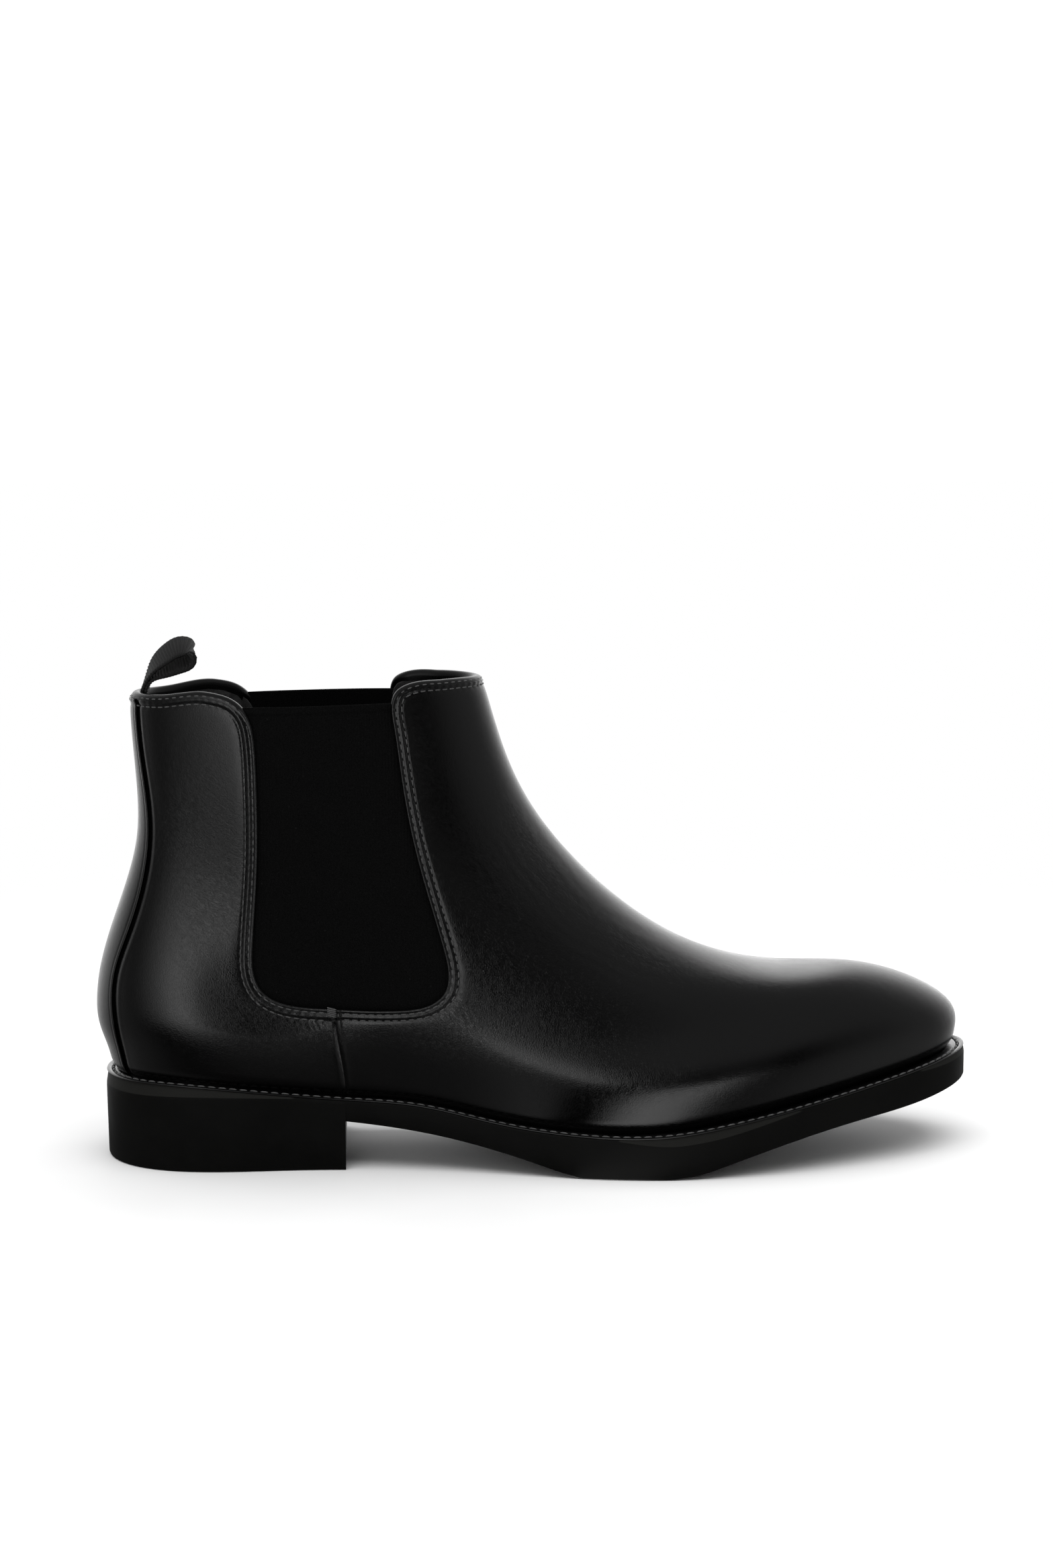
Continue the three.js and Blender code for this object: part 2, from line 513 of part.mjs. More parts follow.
addPiece('rear_collar_binding', rearBinding(), 'leather');
addPiece('pull_loop_ends', loopEnds(), 'webbing');
addPiece('pull_loop', pullLoop(), 'webbing');

const extent = new THREE.Box3().setFromObject(boot);
const middle = extent.getCenter(new THREE.Vector3());
boot.position.set(-middle.x, -middle.y, -extent.min.z);

export default boot;
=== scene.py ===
"""Chelsea boot for a right foot: leather upper, elastic gores, stitched welt, moulded sole and pull loop.

Shapes are worked out in the maker's own frame, in millimetres, with x = 0 at the back of the sole,
y = 0 on the middle line of the pull loop and z = 0 on the ground. Placement turns them into scene metres.
"""
from __future__ import annotations

import logging
import math
from dataclasses import dataclass, field
from enum import Enum
from functools import reduce
from typing import Callable, Sequence

import bpy
import numpy as np
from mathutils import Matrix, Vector

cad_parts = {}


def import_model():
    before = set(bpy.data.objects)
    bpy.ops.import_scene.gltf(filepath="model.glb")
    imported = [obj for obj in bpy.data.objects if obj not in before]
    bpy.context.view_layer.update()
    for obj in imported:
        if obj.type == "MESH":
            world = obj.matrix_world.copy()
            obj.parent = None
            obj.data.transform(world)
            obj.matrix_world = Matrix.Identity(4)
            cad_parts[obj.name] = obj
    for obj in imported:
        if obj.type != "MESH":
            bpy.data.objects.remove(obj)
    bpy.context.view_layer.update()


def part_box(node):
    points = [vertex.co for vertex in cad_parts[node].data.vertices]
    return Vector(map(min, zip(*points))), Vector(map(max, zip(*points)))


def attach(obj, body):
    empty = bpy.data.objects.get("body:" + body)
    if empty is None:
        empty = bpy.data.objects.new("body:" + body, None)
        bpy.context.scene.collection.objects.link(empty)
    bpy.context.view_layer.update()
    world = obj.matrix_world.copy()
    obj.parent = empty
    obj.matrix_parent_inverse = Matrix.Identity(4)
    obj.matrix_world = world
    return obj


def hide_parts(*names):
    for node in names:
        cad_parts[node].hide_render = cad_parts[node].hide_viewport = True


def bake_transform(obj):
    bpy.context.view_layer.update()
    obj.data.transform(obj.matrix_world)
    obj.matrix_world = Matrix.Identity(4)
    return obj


Array = np.ndarray
Relief = Callable[[Array], Array]
Patches = list[tuple[Array, bool]]
Colour = tuple[float, float, float]
Socket = bpy.types.NodeSocket
Material = bpy.types.Material
log = logging.getLogger("chelsea_boot")

LAYER_GAP = 0.3
LEATHER_THICKNESS = 1.4
ELASTIC_DEPTH = 1.7
ELASTIC_THICKNESS = 1.1
LINING_DEPTH = 3.1
LINING_THICKNESS = 0.8
SOLE_LENGTH = 305.0
HEEL_BREAST_X = 84.0
TOE_SHIFT = 6.0
STITCH_DEPTH = 0.27
SEAM_INSET = 0.25


class Side(Enum):
    """A side of the boot; the value is the sign of y and of the angle round the foot."""

    LATERAL = -1
    MEDIAL = 1

    @property
    def label(self) -> str:
        """Plain name of the side."""
        return self.name.lower()


# ---- smooth curves
def bend_matrix(at: Array, level_ends: bool) -> Array:
    """Matrix that turns knot values into the second derivatives of the smoothest cubic through them.

    Inside, neighbouring cubics share slope and bend. At the ends the bend is zero, or the slope is.

    Args:
        at: knot positions, rising.
        level_ends: whether the curve runs level at both ends.

    Returns:
        A square matrix, one row and column for each knot.
    """
    count = len(at)
    step = np.diff(at)
    left, right = np.zeros((count, count)), np.zeros((count, count))
    inner = np.arange(1, count - 1)
    left[inner, inner - 1], left[inner, inner + 1] = step[:-1], step[1:]
    left[inner, inner] = 2 * (step[:-1] + step[1:])
    right[inner, inner - 1], right[inner, inner + 1] = 6 / step[:-1], 6 / step[1:]
    right[inner, inner] = -6 / step[:-1] - 6 / step[1:]
    left[0, 0] = left[-1, -1] = 1
    if level_ends:
        left[0, :2], right[0, :2] = (2 * step[0], step[0]), (-6 / step[0], 6 / step[0])
        left[-1, -2:], right[-1, -2:] = (step[-1], 2 * step[-1]), (6 / step[-1], -6 / step[-1])
    return np.linalg.solve(left, right)


def cubic_parts(at: Array, x: Array) -> tuple[Array, Array, Array, Array, Array]:
    """Interval and the four weights of a cubic spline: value low, value high, bend low, bend high."""
    x = np.clip(x, at[0], at[-1])
    k = np.clip(np.searchsorted(at, x, side="right") - 1, 0, len(at) - 2)
    step = at[k + 1] - at[k]
    high = (x - at[k]) / step
    low = 1 - high
    return k, low, high, (low**3 - low) * step**2 / 6, (high**3 - high) * step**2 / 6


class SmoothCurve:
    """Smooth curve through (position, value) pairs, held level past both ends."""

    def __init__(self, pairs: Sequence[Sequence[float]], level_ends: bool = False) -> None:
        """Solves the curve once; pairs are (position, value) or (position, value, value ...)."""
        table = np.asarray(pairs, float)
        self.at = table[:, 0]
        self.values = table[:, 1] if table.shape[1] == 2 else table[:, 1:]
        self.bends = bend_matrix(self.at, level_ends) @ self.values

    def __call__(self, x: Array) -> Array:
        """Values of the curve at x."""
        k, low, high, low_bend, high_bend = cubic_parts(self.at, np.asarray(x, float))
        if self.values.ndim > 1:
            low, high, low_bend, high_bend = (w[..., None] for w in (low, high, low_bend, high_bend))
        return (low * self.values[k] + high * self.values[k + 1]
                + low_bend * self.bends[k] + high_bend * self.bends[k + 1])


def run_along(points: Array) -> Array:
    """Distance from the first point to each point, from one to the next."""
    return np.concatenate([[0], np.cumsum(np.linalg.norm(np.diff(points, axis=0), axis=1))])


def curve_points(corners: Sequence[Sequence[float]], step: float = 0.5) -> Array:
    """Even points along the smooth curve through a few corners, by chord length.

    Args:
        corners: points of any dimension.
        step: distance between the points made.

    Returns:
        An array of points.
    """
    corners = np.asarray(corners, float)
    chord = run_along(corners)
    curve = SmoothCurve(np.column_stack([chord, corners]))
    return curve(np.linspace(0, chord[-1], max(int(chord[-1] / step), 4)))


def smooth_step(value: Array, low: float, high: float) -> Array:
    """0 below low, 1 above high, and an even S between them."""
    t = np.clip((np.asarray(value, float) - low) / (high - low), 0, 1)
    return t * t * (3 - 2 * t)


def bell(distance: Array, width: float) -> Array:
    """Bell curve exp(-(distance / width)^2), 1 in the middle."""
    return np.exp(-(distance / width) ** 2)


def unit(vectors: Array) -> Array:
    """Vectors made one long."""
    return vectors / np.maximum(np.linalg.norm(vectors, axis=-1, keepdims=True), 1e-12)


# ---- the boot's forms
@dataclass(frozen=True)
class Placement:
    """Turns the maker's millimetres into the scene's metres, from two pieces of the frame."""

    origin: Array

    @classmethod
    def from_frame(cls) -> "Placement":
        """The sole's back is x = 0, the loop's middle is y = 0, and the ground is z = 0."""
        sole_low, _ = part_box("unit_sole")
        loop_low, loop_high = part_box("pull_loop")
        return cls(np.array([sole_low[0], (loop_low[1] + loop_high[1]) / 2, sole_low[2]]))

    def __call__(self, points: Array) -> Array:
        """Scene places of the maker's points."""
        return np.asarray(points, float) * 0.001 + self.origin


# angles round the foot, from the toe to the heel, of the values in the width rows
ANGLES = np.linspace(0, math.pi, 10)
FEATHER = SmoothCurve([(0, 30.4), (25, 30.6), (50, 28.4), (83, 25.1), (110, 23.1), (133, 18.7), (150, 16.2),
                       (175, 14.7), (195, 15.4), (215, 18.4), (257, 25.9), (305, 35)])
# the dip below zero is cut off where the sole stands flat on the ground
TREAD = SmoothCurve([(84, 17), (110, 13.6), (134, 8.5), (152, 3.4), (164, 0), (179, -1.6), (194, 0),
                     (204, 1.4), (215, 4.6), (236, 10.6), (259, 15.3), (282, 18.6), (305, 23.4)])
ANKLE_ROWS = [(0.75, [34, 33.8, 33.5, 33, 32.5, 32, 31.5, 32.5, 36, 38]),
              (1, [29.5, 29.3, 29, 28.5, 28, 28, 28, 28.5, 30, 31])]
WIDTH_ROWS = {
    Side.LATERAL: [(0, [53, 52.5, 51.8, 54.7, 50, 37.2, 35, 49.5, 63.7, 68.2]),
                   (0.12, [52, 52.5, 53, 56, 51.5, 40, 37.5, 52, 65.5, 70]),
                   (0.3, [54, 53, 50.5, 48.5, 44, 38.5, 36, 47, 60, 66]),
                   (0.5, [43, 42.5, 41.5, 40, 37.5, 35, 33.5, 38, 47, 53]), *ANKLE_ROWS],
    Side.MEDIAL: [(0, [53, 52, 51, 50, 39, 24.5, 30.5, 49, 63.7, 68.2]),
                  (0.12, [52, 52, 52, 51.5, 42.5, 29, 33, 51, 65.5, 70]),
                  (0.3, [54, 52.5, 49.5, 46, 41, 34, 34, 46, 60, 66]),
                  (0.5, [43, 42.5, 41.5, 39.5, 37, 34.5, 33, 37.5, 47, 53]), *ANKLE_ROWS],
}
SOLE_WIDTHS = {
    Side.LATERAL: SmoothCurve(list(zip(ANGLES, [60, 58.5, 57, 59.5, 54.5, 41, 38.5, 53, 67.5, 72.5])), True),
    Side.MEDIAL: SmoothCurve(list(zip(ANGLES, [60, 58, 56, 54.5, 43.5, 28.5, 34, 52.5, 67.5, 72.5])), True),
}
COLLAR_PLANE = 172.0
# row up the upper, x and z of the front ridge
RIDGE = SmoothCurve([(0, 300.3, 34.1), (0.06, 301.6, 41.5), (0.12, 300.4, 48), (0.2, 289.8, 56.4),
                     (0.3, 264, 63.8), (0.38, 241, 63.7), (0.46, 213.5, 69.4), (0.55, 186.3, 83.8),
                     (0.66, 159.8, 108.2), (0.78, 143, 134.5), (0.9, 134.7, 159), (1, 130.6, COLLAR_PLANE)])
# row up the upper, x of the back and its height above the feather
BACK = SmoothCurve([(0, 3.2, 0), (0.06, 1.2, 8), (0.12, -1.5, 16), (0.2, -2.2, 26), (0.3, -0.4, 38),
                    (0.4, 3.7, 51.5), (0.5, 8.8, 66), (0.6, 12.5, 81), (0.75, 12.5, 104), (0.9, 11, 127),
                    (1, 11.2, COLLAR_PLANE - 30.5)])
SIDE_RISE = SmoothCurve([(0, 0), (0.06, 9), (0.12, 16.5), (0.2, 23.5), (0.3, 32.5), (0.4, 46), (0.5, 61),
                         (0.6, 77), (0.75, 104), (0.9, 130), (1, COLLAR_PLANE - 26.5)])


class WidthTable:
    """Half width of the upper on one side, smooth both round the foot and up the rows."""

    def __init__(self, rows: Sequence[tuple[float, Sequence[float]]]) -> None:
        """Solves both directions once."""
        self.rows = np.array([row for row, _ in rows])
        self.values = np.array([values for _, values in rows], float)
        self.angle_bends = self.values @ bend_matrix(ANGLES, True).T
        self.row_matrix = bend_matrix(self.rows, False)

    def __call__(self, turn: Array, row: Array) -> Array:
        """Half width at flat arrays of turn and row: a cubic round the foot, then one up the rows."""
        k, low, high, low_bend, high_bend = cubic_parts(ANGLES, turn)
        across = (low * self.values[:, k] + high * self.values[:, k + 1]
                  + low_bend * self.angle_bends[:, k] + high_bend * self.angle_bends[:, k + 1])
        bends = self.row_matrix @ across
        r, low, high, low_bend, high_bend = cubic_parts(self.rows, row)
        column = np.arange(len(turn))
        return (low * across[r, column] + high * across[r + 1, column]
                + low_bend * bends[r, column] + high_bend * bends[r + 1, column])


class UpperForm:
    """Outer surface of the upper, by angle round the foot and row from the feather line to the collar.

    Angle 0 is the ridge over the toe and the instep, pi is the back, and negative angles are lateral.
    """

    def __init__(self) -> None:
        """Makes the width tables and a coarse grid that starts the search in locate."""
        self.widths = {side: WidthTable(rows) for side, rows in WIDTH_ROWS.items()}
        turn, row = np.meshgrid(np.linspace(0.04, math.pi - 0.04, 90), np.linspace(0, 1, 70), indexing="ij")
        self.start = np.column_stack([turn.ravel(), row.ravel()])
        self.start_points = self.point(self.start[:, 0], self.start[:, 1])[:, [0, 2]]

    def point(self, angle: Array, row: Array) -> Array:
        """Points at flat arrays of angle and row.

        With g = (1 + cos angle) / 2, x runs from the back to the ridge by g; z is the feather's height there
        plus the sides' rise, bent to the ridge's or the back's by the fourth power of cos angle; y is the
        half width times sin angle, with the toe turned in.
        """
        angle, row = np.broadcast_arrays(np.asarray(angle, float), np.asarray(row, float))
        shape = angle.shape
        angle = np.mod(angle.ravel() + math.pi, 2 * math.pi) - math.pi
        row = np.clip(row.ravel(), 0, 1)
        turn, g = np.abs(angle), (1 + np.cos(angle)) / 2
        ridge, back, side_rise = RIDGE(row), BACK(row), SIDE_RISE(row)
        x = back[:, 0] + (ridge[:, 0] - back[:, 0]) * g
        half = np.where(angle < 0, self.widths[Side.LATERAL](turn, row), self.widths[Side.MEDIAL](turn, row))
        end = np.where(turn < math.pi / 2, ridge[:, 1] - FEATHER(ridge[:, 0]), back[:, 1])
        rise = side_rise + (end - side_rise) * np.cos(angle) ** 4
        y = TOE_SHIFT * g**2 * (1 - row) ** 2 + half * np.sin(angle)
        return np.stack([x, y, FEATHER(x) + rise], axis=-1).reshape(*shape, 3)

    def slopes(self, angle: Array, row: Array) -> tuple[Array, Array]:
        """Change of the point for a unit of angle and for a unit of row."""
        step = 1e-3
        low, high = np.clip(row - step, 0, 1), np.clip(row + step, 0, 1)
        along_angle = (self.point(angle + step, row) - self.point(angle - step, row)) / (2 * step)
        along_row = (self.point(angle, high) - self.point(angle, low)) / (high - low)[..., None]
        return along_angle, along_row

    def normal(self, angle: Array, row: Array) -> Array:
        """Outward unit normals: the slope along the angle crossed with the slope along the row."""
        return unit(np.cross(*self.slopes(angle, row)))

    def locate(self, x: Array, z: Array) -> tuple[Array, Array]:
        """Turn and row of side-view places, by Newton steps from the nearest point of the coarse grid."""
        goal = np.column_stack([x, z])
        nearest = np.argmin(((goal[:, None] - self.start_points[None]) ** 2).sum(-1), axis=1)
        turn, row = self.start[nearest].T.copy()
        for _ in range(14):
            miss = goal - self.point(turn, row)[:, [0, 2]]
            along_angle, along_row = (slope[:, [0, 2]] for slope in self.slopes(turn, row))
            area = along_angle[:, 0] * along_row[:, 1] - along_angle[:, 1] * along_row[:, 0]
            d_turn = (miss[:, 0] * along_row[:, 1] - miss[:, 1] * along_row[:, 0]) / area
            d_row = (along_angle[:, 0] * miss[:, 1] - along_angle[:, 1] * miss[:, 0]) / area
            turn = np.clip(turn + np.clip(d_turn, -0.1, 0.1), 0.01, math.pi - 0.01)
            row = np.clip(row + np.clip(d_row, -0.1, 0.1), 0, 1)
        return turn, row

    def row_on(self, turn: Array, height: Callable[[Array], Array]) -> Array:
        """Rows where the surface crosses a side-view curve z = height(x), at given turns."""
        row = np.full_like(turn, 0.95)
        for _ in range(12):
            over = [p[:, 2] - height(p[:, 0]) for p in (self.point(turn, row), self.point(turn, row - 1e-4))]
            row = np.clip(row - over[0] * 1e-4 / (over[0] - over[1]), 0.5, 1)
        return row


class SoleForm:
    """Plan outline of the sole, by angle round the foot from the toe."""

    def __init__(self) -> None:
        """Measures the outline, so that stations can be set evenly along it."""
        self.angles = np.linspace(0, 2 * math.pi, 4001)
        self.run = run_along(self.plan(self.angles, 0))

    def _edge(self, angle: Array) -> Array:
        """Edge in plan: x is the length times g, y the half width times sin angle, with the toe turned in."""
        angle = np.mod(angle + math.pi, 2 * math.pi) - math.pi
        g, turn = (1 + np.cos(angle)) / 2, np.abs(angle)
        half = np.where(angle < 0, SOLE_WIDTHS[Side.LATERAL](turn), SOLE_WIDTHS[Side.MEDIAL](turn))
        return np.stack([SOLE_LENGTH * g, TOE_SHIFT * g**2 + half * np.sin(angle)], axis=-1)

    def plan(self, angle: Array, inset: Array) -> Array:
        """Points in plan, moved in from the edge by an inset."""
        angle = np.asarray(angle, float)
        along = unit(self._edge(angle + 1e-3) - self._edge(angle - 1e-3))
        inward = np.stack([-along[..., 1], along[..., 0]], axis=-1)
        return self._edge(angle) + inward * np.asarray(inset, float)[..., None]

    def even_angles(self, count: int) -> Array:
        """Angles of stations set evenly round the edge."""
        return np.interp(np.arange(count) * self.run[-1] / count, self.run, self.angles)


UPPER = UpperForm()
SOLE = SoleForm()

# Seams as side-view corners, x and z
SIDE_SEAM = [(84.6, 20), (83.4, 34), (81.8, 44), (80.4, 56.4)]
GORE_EDGE_FRONT = [(80.4, 56.4), (92, 56.1), (104, 56.6), (113, 58.7), (118, 63), (119.2, 69.5), (117.8, 77),
                   (112.4, 96), (107.5, 115), (103.8, 136), (101.4, 153), (100.8, 160)]
FRONT_CORNER = [(100.8, 160), (102.3, 164.3), (106.6, 166.9), (118, 168)]
GORE_EDGE_REAR = [(80.4, 56.4), (70, 57), (61.2, 59), (55.6, 63), (53, 69.5), (52.8, 77), (54, 96),
                  (54.8, 115), (54.7, 133), (54, 148), (53.2, 153)]
REAR_CORNER = [(53.2, 153), (50.6, 158.6), (45.6, 162.6), (38, 164.5)]
BACKSTAY_EDGE = [(9.2, 27), (6.2, 42), (4.4, 54), (5, 66), (9.6, 80), (15.2, 98), (17.4, 118), (14.6, 143),
                 (13, 168)]
GRIP_EDGE = [(46, 20), (40, 70), (36, 120), (36, 170)]
FRONT_TOP = SmoothCurve([(106.6, 166.9), (118, 168), (131, 168.2), (145, 168)])
REAR_TOP = SmoothCurve([(0, 163), (12, 162.8), (22, 163), (30, 164.2), (38, 164.5), (45.6, 162.6)])
GORE_TOP = SmoothCurve([(40, 158.9), (60, 159.4), (100, 160.4), (112, 160.5)])


# ---- lines on the upper
class Line:
    """A line drawn on the upper, kept as angle and row, with its run in millimetres."""

    def __init__(self, places: Array) -> None:
        """Places are rows of (angle, row)."""
        self.places = np.asarray(places, float)
        self.points = UPPER.point(self.places[:, 0], self.places[:, 1])
        self.run = run_along(self.points)
        self.length = float(self.run[-1])

    @classmethod
    def drawn(cls, side: Side, corners: Sequence[Sequence[float]], step: float = 0.8) -> "Line":
        """Line through side-view corners, on one side of the boot."""
        points = curve_points(corners, step)
        turn, row = UPPER.locate(points[:, 0], points[:, 1])
        return cls(np.column_stack([side.value * turn, row]))

    @classmethod
    def straight(cls, start: Array, end: Array, count: int = 60) -> "Line":
        """Line straight in angle and row."""
        share = np.linspace(0, 1, count)[:, None]
        return cls(np.asarray(start) * (1 - share) + np.asarray(end) * share)

    def at(self, run: Array) -> Array:
        """Places (angle, row) at distances along the line."""
        return np.column_stack([np.interp(run, self.run, self.places[:, i]) for i in (0, 1)])

    def then(self, other: "Line") -> "Line":
        """This line followed by another that starts where it ends."""
        return Line(np.vstack([self.places, other.places[1:]]))

    def back(self) -> "Line":
        """The same line the other way."""
        return Line(self.places[::-1])

    def between(self, start: float, end: float) -> "Line":
        """The stretch between two distances along the line."""
        inside = self.run[(self.run > start + 0.05) & (self.run < end - 0.05)]
        return Line(self.at(np.concatenate([[start], inside, [end]])))

    def spread(self, count: int, fine: float, band: float) -> Array:
        """Runs along the line, close together near both ends and wider apart in the middle.

        The spacing grows smoothly from fine to a middle value, which is searched for until count fits.

        Args:
            count: number of places.
            fine: spacing near the ends, in millimetres.
            band: how far from each end the fine spacing lasts.

        Returns:
            The runs, from nothing to the line's length.
        """
        s = np.linspace(0, self.length, 2000)
        from_end = np.minimum(s, self.length - s)
        rise = smooth_step(from_end, min(band, self.length / 3), min(band * 3.5, self.length / 2))
        low, high = fine * 0.05, self.length
        for _ in range(60):
            middle = (low + high) / 2
            cells = 1 / (fine * (middle / fine) ** rise[:-1])
            low, high = (middle, high) if np.sum(cells) * s[1] > count - 1 else (low, middle)
        run = np.concatenate([[0], np.cumsum(cells)])
        return np.interp(np.linspace(0, run[-1], count), run, s)

    def graded(self, count: int, fine: float, band: float) -> Array:
        """The places at those runs."""
        return self.at(self.spread(count, fine, band))

    def even(self, count: int) -> Array:
        """Places set evenly along the line."""
        return self.at(np.linspace(0, self.length, count))

    def nearest_run(self, x: float, z: float) -> float:
        """Distance along the line of its point nearest to a side-view place."""
        return float(self.run[np.argmin(np.hypot(self.points[:, 0] - x, self.points[:, 2] - z))])

    def up_to(self, other: "Line") -> tuple["Line", int]:
        """This line cut where it meets a line above it, and the point of that line where they meet."""
        meets = int(np.argmin(np.abs(other.places[:, 0] - self.places[-1, 0])))
        below = self.places[self.places[:, 1] < other.places[meets, 1] - 0.004]
        return Line(np.vstack([below, other.places[meets]])), meets

    def moved(self, distance: Array | float, steps: int = 3) -> "Line":
        """The line moved over the surface, to its left as seen from outside.

        Each step solves the two slopes of the surface for a move along normal x tangent.
        """
        places = self.places.copy()
        for _ in range(steps):
            along_angle, along_row = UPPER.slopes(places[:, 0], places[:, 1])
            points = UPPER.point(places[:, 0], places[:, 1])
            left = unit(np.cross(np.cross(along_angle, along_row), np.gradient(points, axis=0)))
            push = left * np.broadcast_to(np.asarray(distance, float) / steps, len(places))[:, None]
            aa, ar, rr, pa, pr = (np.sum(p * q, axis=1) for p, q in (
                (along_angle, along_angle), (along_angle, along_row), (along_row, along_row),
                (push, along_angle), (push, along_row)))
            area = aa * rr - ar * ar
            places = places + np.column_stack([(pa * rr - pr * ar) / area, (pr * aa - pa * ar) / area])
            places[:, 1] = np.clip(places[:, 1], 0, 1)
        return Line(places)


def collar_line(side: Side, start: Line, top: SmoothCurve, end_turn: float) -> Line:
    """Collar edge on one side, from the end of a line already drawn to the ridge or the back.

    Args:
        side: side of the boot.
        start: line whose last point is on the collar.
        top: side-view height of the collar.
        end_turn: 0 for the ridge, pi for the back.

    Returns:
        The line of the collar alone.
    """
    turn = np.linspace(abs(start.places[-1, 0]), end_turn, 90)
    row = UPPER.row_on(turn, top)
    row[0] = start.places[-1, 1]
    return Line(np.column_stack([side.value * turn, row]))


def feather_line(start: float, end: float, count: int = 400) -> Line:
    """Foot of the upper between two angles."""
    return Line(np.column_stack([np.linspace(start, end, count), np.zeros(count)]))


def patch(bottom: Array, top: Array, left: Array, right: Array) -> Array:
    """Places of a four-sided patch blended from its sides.

    The two blends across and up are added and the four-corner blend taken away; weights follow how far
    along its side each point lies.

    Args:
        bottom: places (n, 2) from left to right.
        top: places (n, 2) from left to right.
        left: places (m, 2) from bottom to top.
        right: places (m, 2) from bottom to top.

    Returns:
        Places (n, m, 2).
    """
    def share(side: Array) -> Array:
        """Run along a side as a share of its length."""
        run = Line(side).run
        return run / run[-1]

    across_low, across_high, up_left, up_right = share(bottom), share(top), share(left), share(right)
    up = ((up_left + up_right) / 2)[None, :]
    across = ((across_low + across_high) / 2)[:, None]
    u = ((1 - up) * across_low[:, None] + up * across_high[:, None])[..., None]
    v = ((1 - across) * up_left[None, :] + across * up_right[None, :])[..., None]
    grid = ((1 - v) * bottom[:, None] + v * top[:, None] + (1 - u) * left[None] + u * right[None]
            - (1 - u) * (1 - v) * bottom[0] - u * (1 - v) * bottom[-1]
            - (1 - u) * v * top[0] - u * v * top[-1])
    grid[0], grid[-1], grid[:, 0], grid[:, -1] = left, right, bottom, top
    return grid


# ---- relief
class Trace:
    """Measures how far points are from a line in space, and how far along it."""

    def __init__(self, points: Array) -> None:
        """Points of the line, in order."""
        self.start, self.step = points[:-1], np.diff(points, axis=0)
        self.square = np.maximum((self.step**2).sum(1), 1e-9)
        self.run = np.concatenate([[0], np.cumsum(np.sqrt(self.square))])

    def measure(self, points: Array, reach: float = 14.0) -> tuple[Array, Array]:
        """Distance and run of the nearest place on the line; points beyond reach get reach and 0."""
        away, run = np.full(len(points), reach), np.zeros(len(points))
        low = np.minimum(self.start, self.start + self.step).min(0) - reach
        high = np.maximum(self.start, self.start + self.step).max(0) + reach
        near = np.flatnonzero(((points > low) & (points < high)).all(1))
        for part in np.array_split(near, max(len(near) // 2000, 1)):
            offset = points[part, None] - self.start[None]
            t = np.clip((offset * self.step).sum(-1) / self.square, 0, 1)
            gap = ((offset - t[..., None] * self.step) ** 2).sum(-1)
            best = np.argmin(gap, axis=1)
            pick = np.arange(len(part))
            away[part] = np.minimum(np.sqrt(gap[pick, best]), reach)
            run[part] = self.run[best] + t[pick, best] * np.sqrt(self.square[best])
        return away, run


@dataclass(frozen=True)
class StitchedEdge:
    """Relief along a turned edge that is sewn down by two rows of stitches."""

    trace: Trace
    rows: tuple[float, float] = (1.5, 4.0)
    roll: float = 1.0
    drop: float = 0.35
    groove: float = 0.36
    groove_width: float = 0.42
    puff: float = 0.12
    pitch: float = 2.8

    def __call__(self, points: Array) -> Array:
        """Height over the plain surface.

        A parabola rolls the edge over, a bell-shaped groove runs at each row and dips at every stitch hole,
        a sine arch puffs the leather between the rows, a wide shallow bell lets it down past them, and fine
        beads stand along the edge and between the rows.
        """
        away, run = self.trace.measure(points)
        first, last = self.rows
        wave = np.cos(2 * math.pi * run / self.pitch)
        height = -self.drop * np.clip(1 - away / self.roll, 0, 1) ** 2
        pull = self.groove * (0.8 + 0.2 * wave)
        height -= pull * (bell(away - first, self.groove_width) + bell(away - last, self.groove_width))
        height -= 0.16 * bell(away - last, 1.9)
        if not self.puff:
            return height
        bead = 0.2 * bell(away - 0.34, 0.28)
        bead += 0.18 * (1 - 0.35 * wave) * bell(away - (first + last) / 2, 0.36)
        between = np.clip((away - first) / (last - first), 0, 1)
        return height + self.puff * (1 - 0.18 * wave) * np.sin(math.pi * between) ** 2 + bead


@dataclass(frozen=True)
class SeamLip:
    """Relief beside a closed seam: the edge turns down into the seam and stands up in a lip beside it."""

    trace: Trace
    drop: float = 0.85
    lip: float = 0.3
    fade: tuple[float, float] = (0.0, 1.0)

    def __call__(self, points: Array) -> Array:
        """Height over the plain surface; it fades from the first run to the second."""
        away, run = self.trace.measure(points)
        strength = 0.35 + 0.65 * smooth_step(run, *self.fade)
        fall = -self.drop * np.clip(1 - away / 0.95, 0, 1) ** 2
        return strength * (fall + self.lip * bell(away - 1.15, 0.6))


@dataclass(frozen=True)
class PressedBand:
    """Relief of leather pressed down beside a strip that is sewn over it."""

    trace: Trace
    depth: float = 0.5
    width: float = 1.7

    def __call__(self, points: Array) -> Array:
        """Height over the plain surface: a half bell with a low shoulder past it."""
        away, _ = self.trace.measure(points)
        return 0.1 * bell(away - 3.1, 0.8) - self.depth * bell(away, self.width)


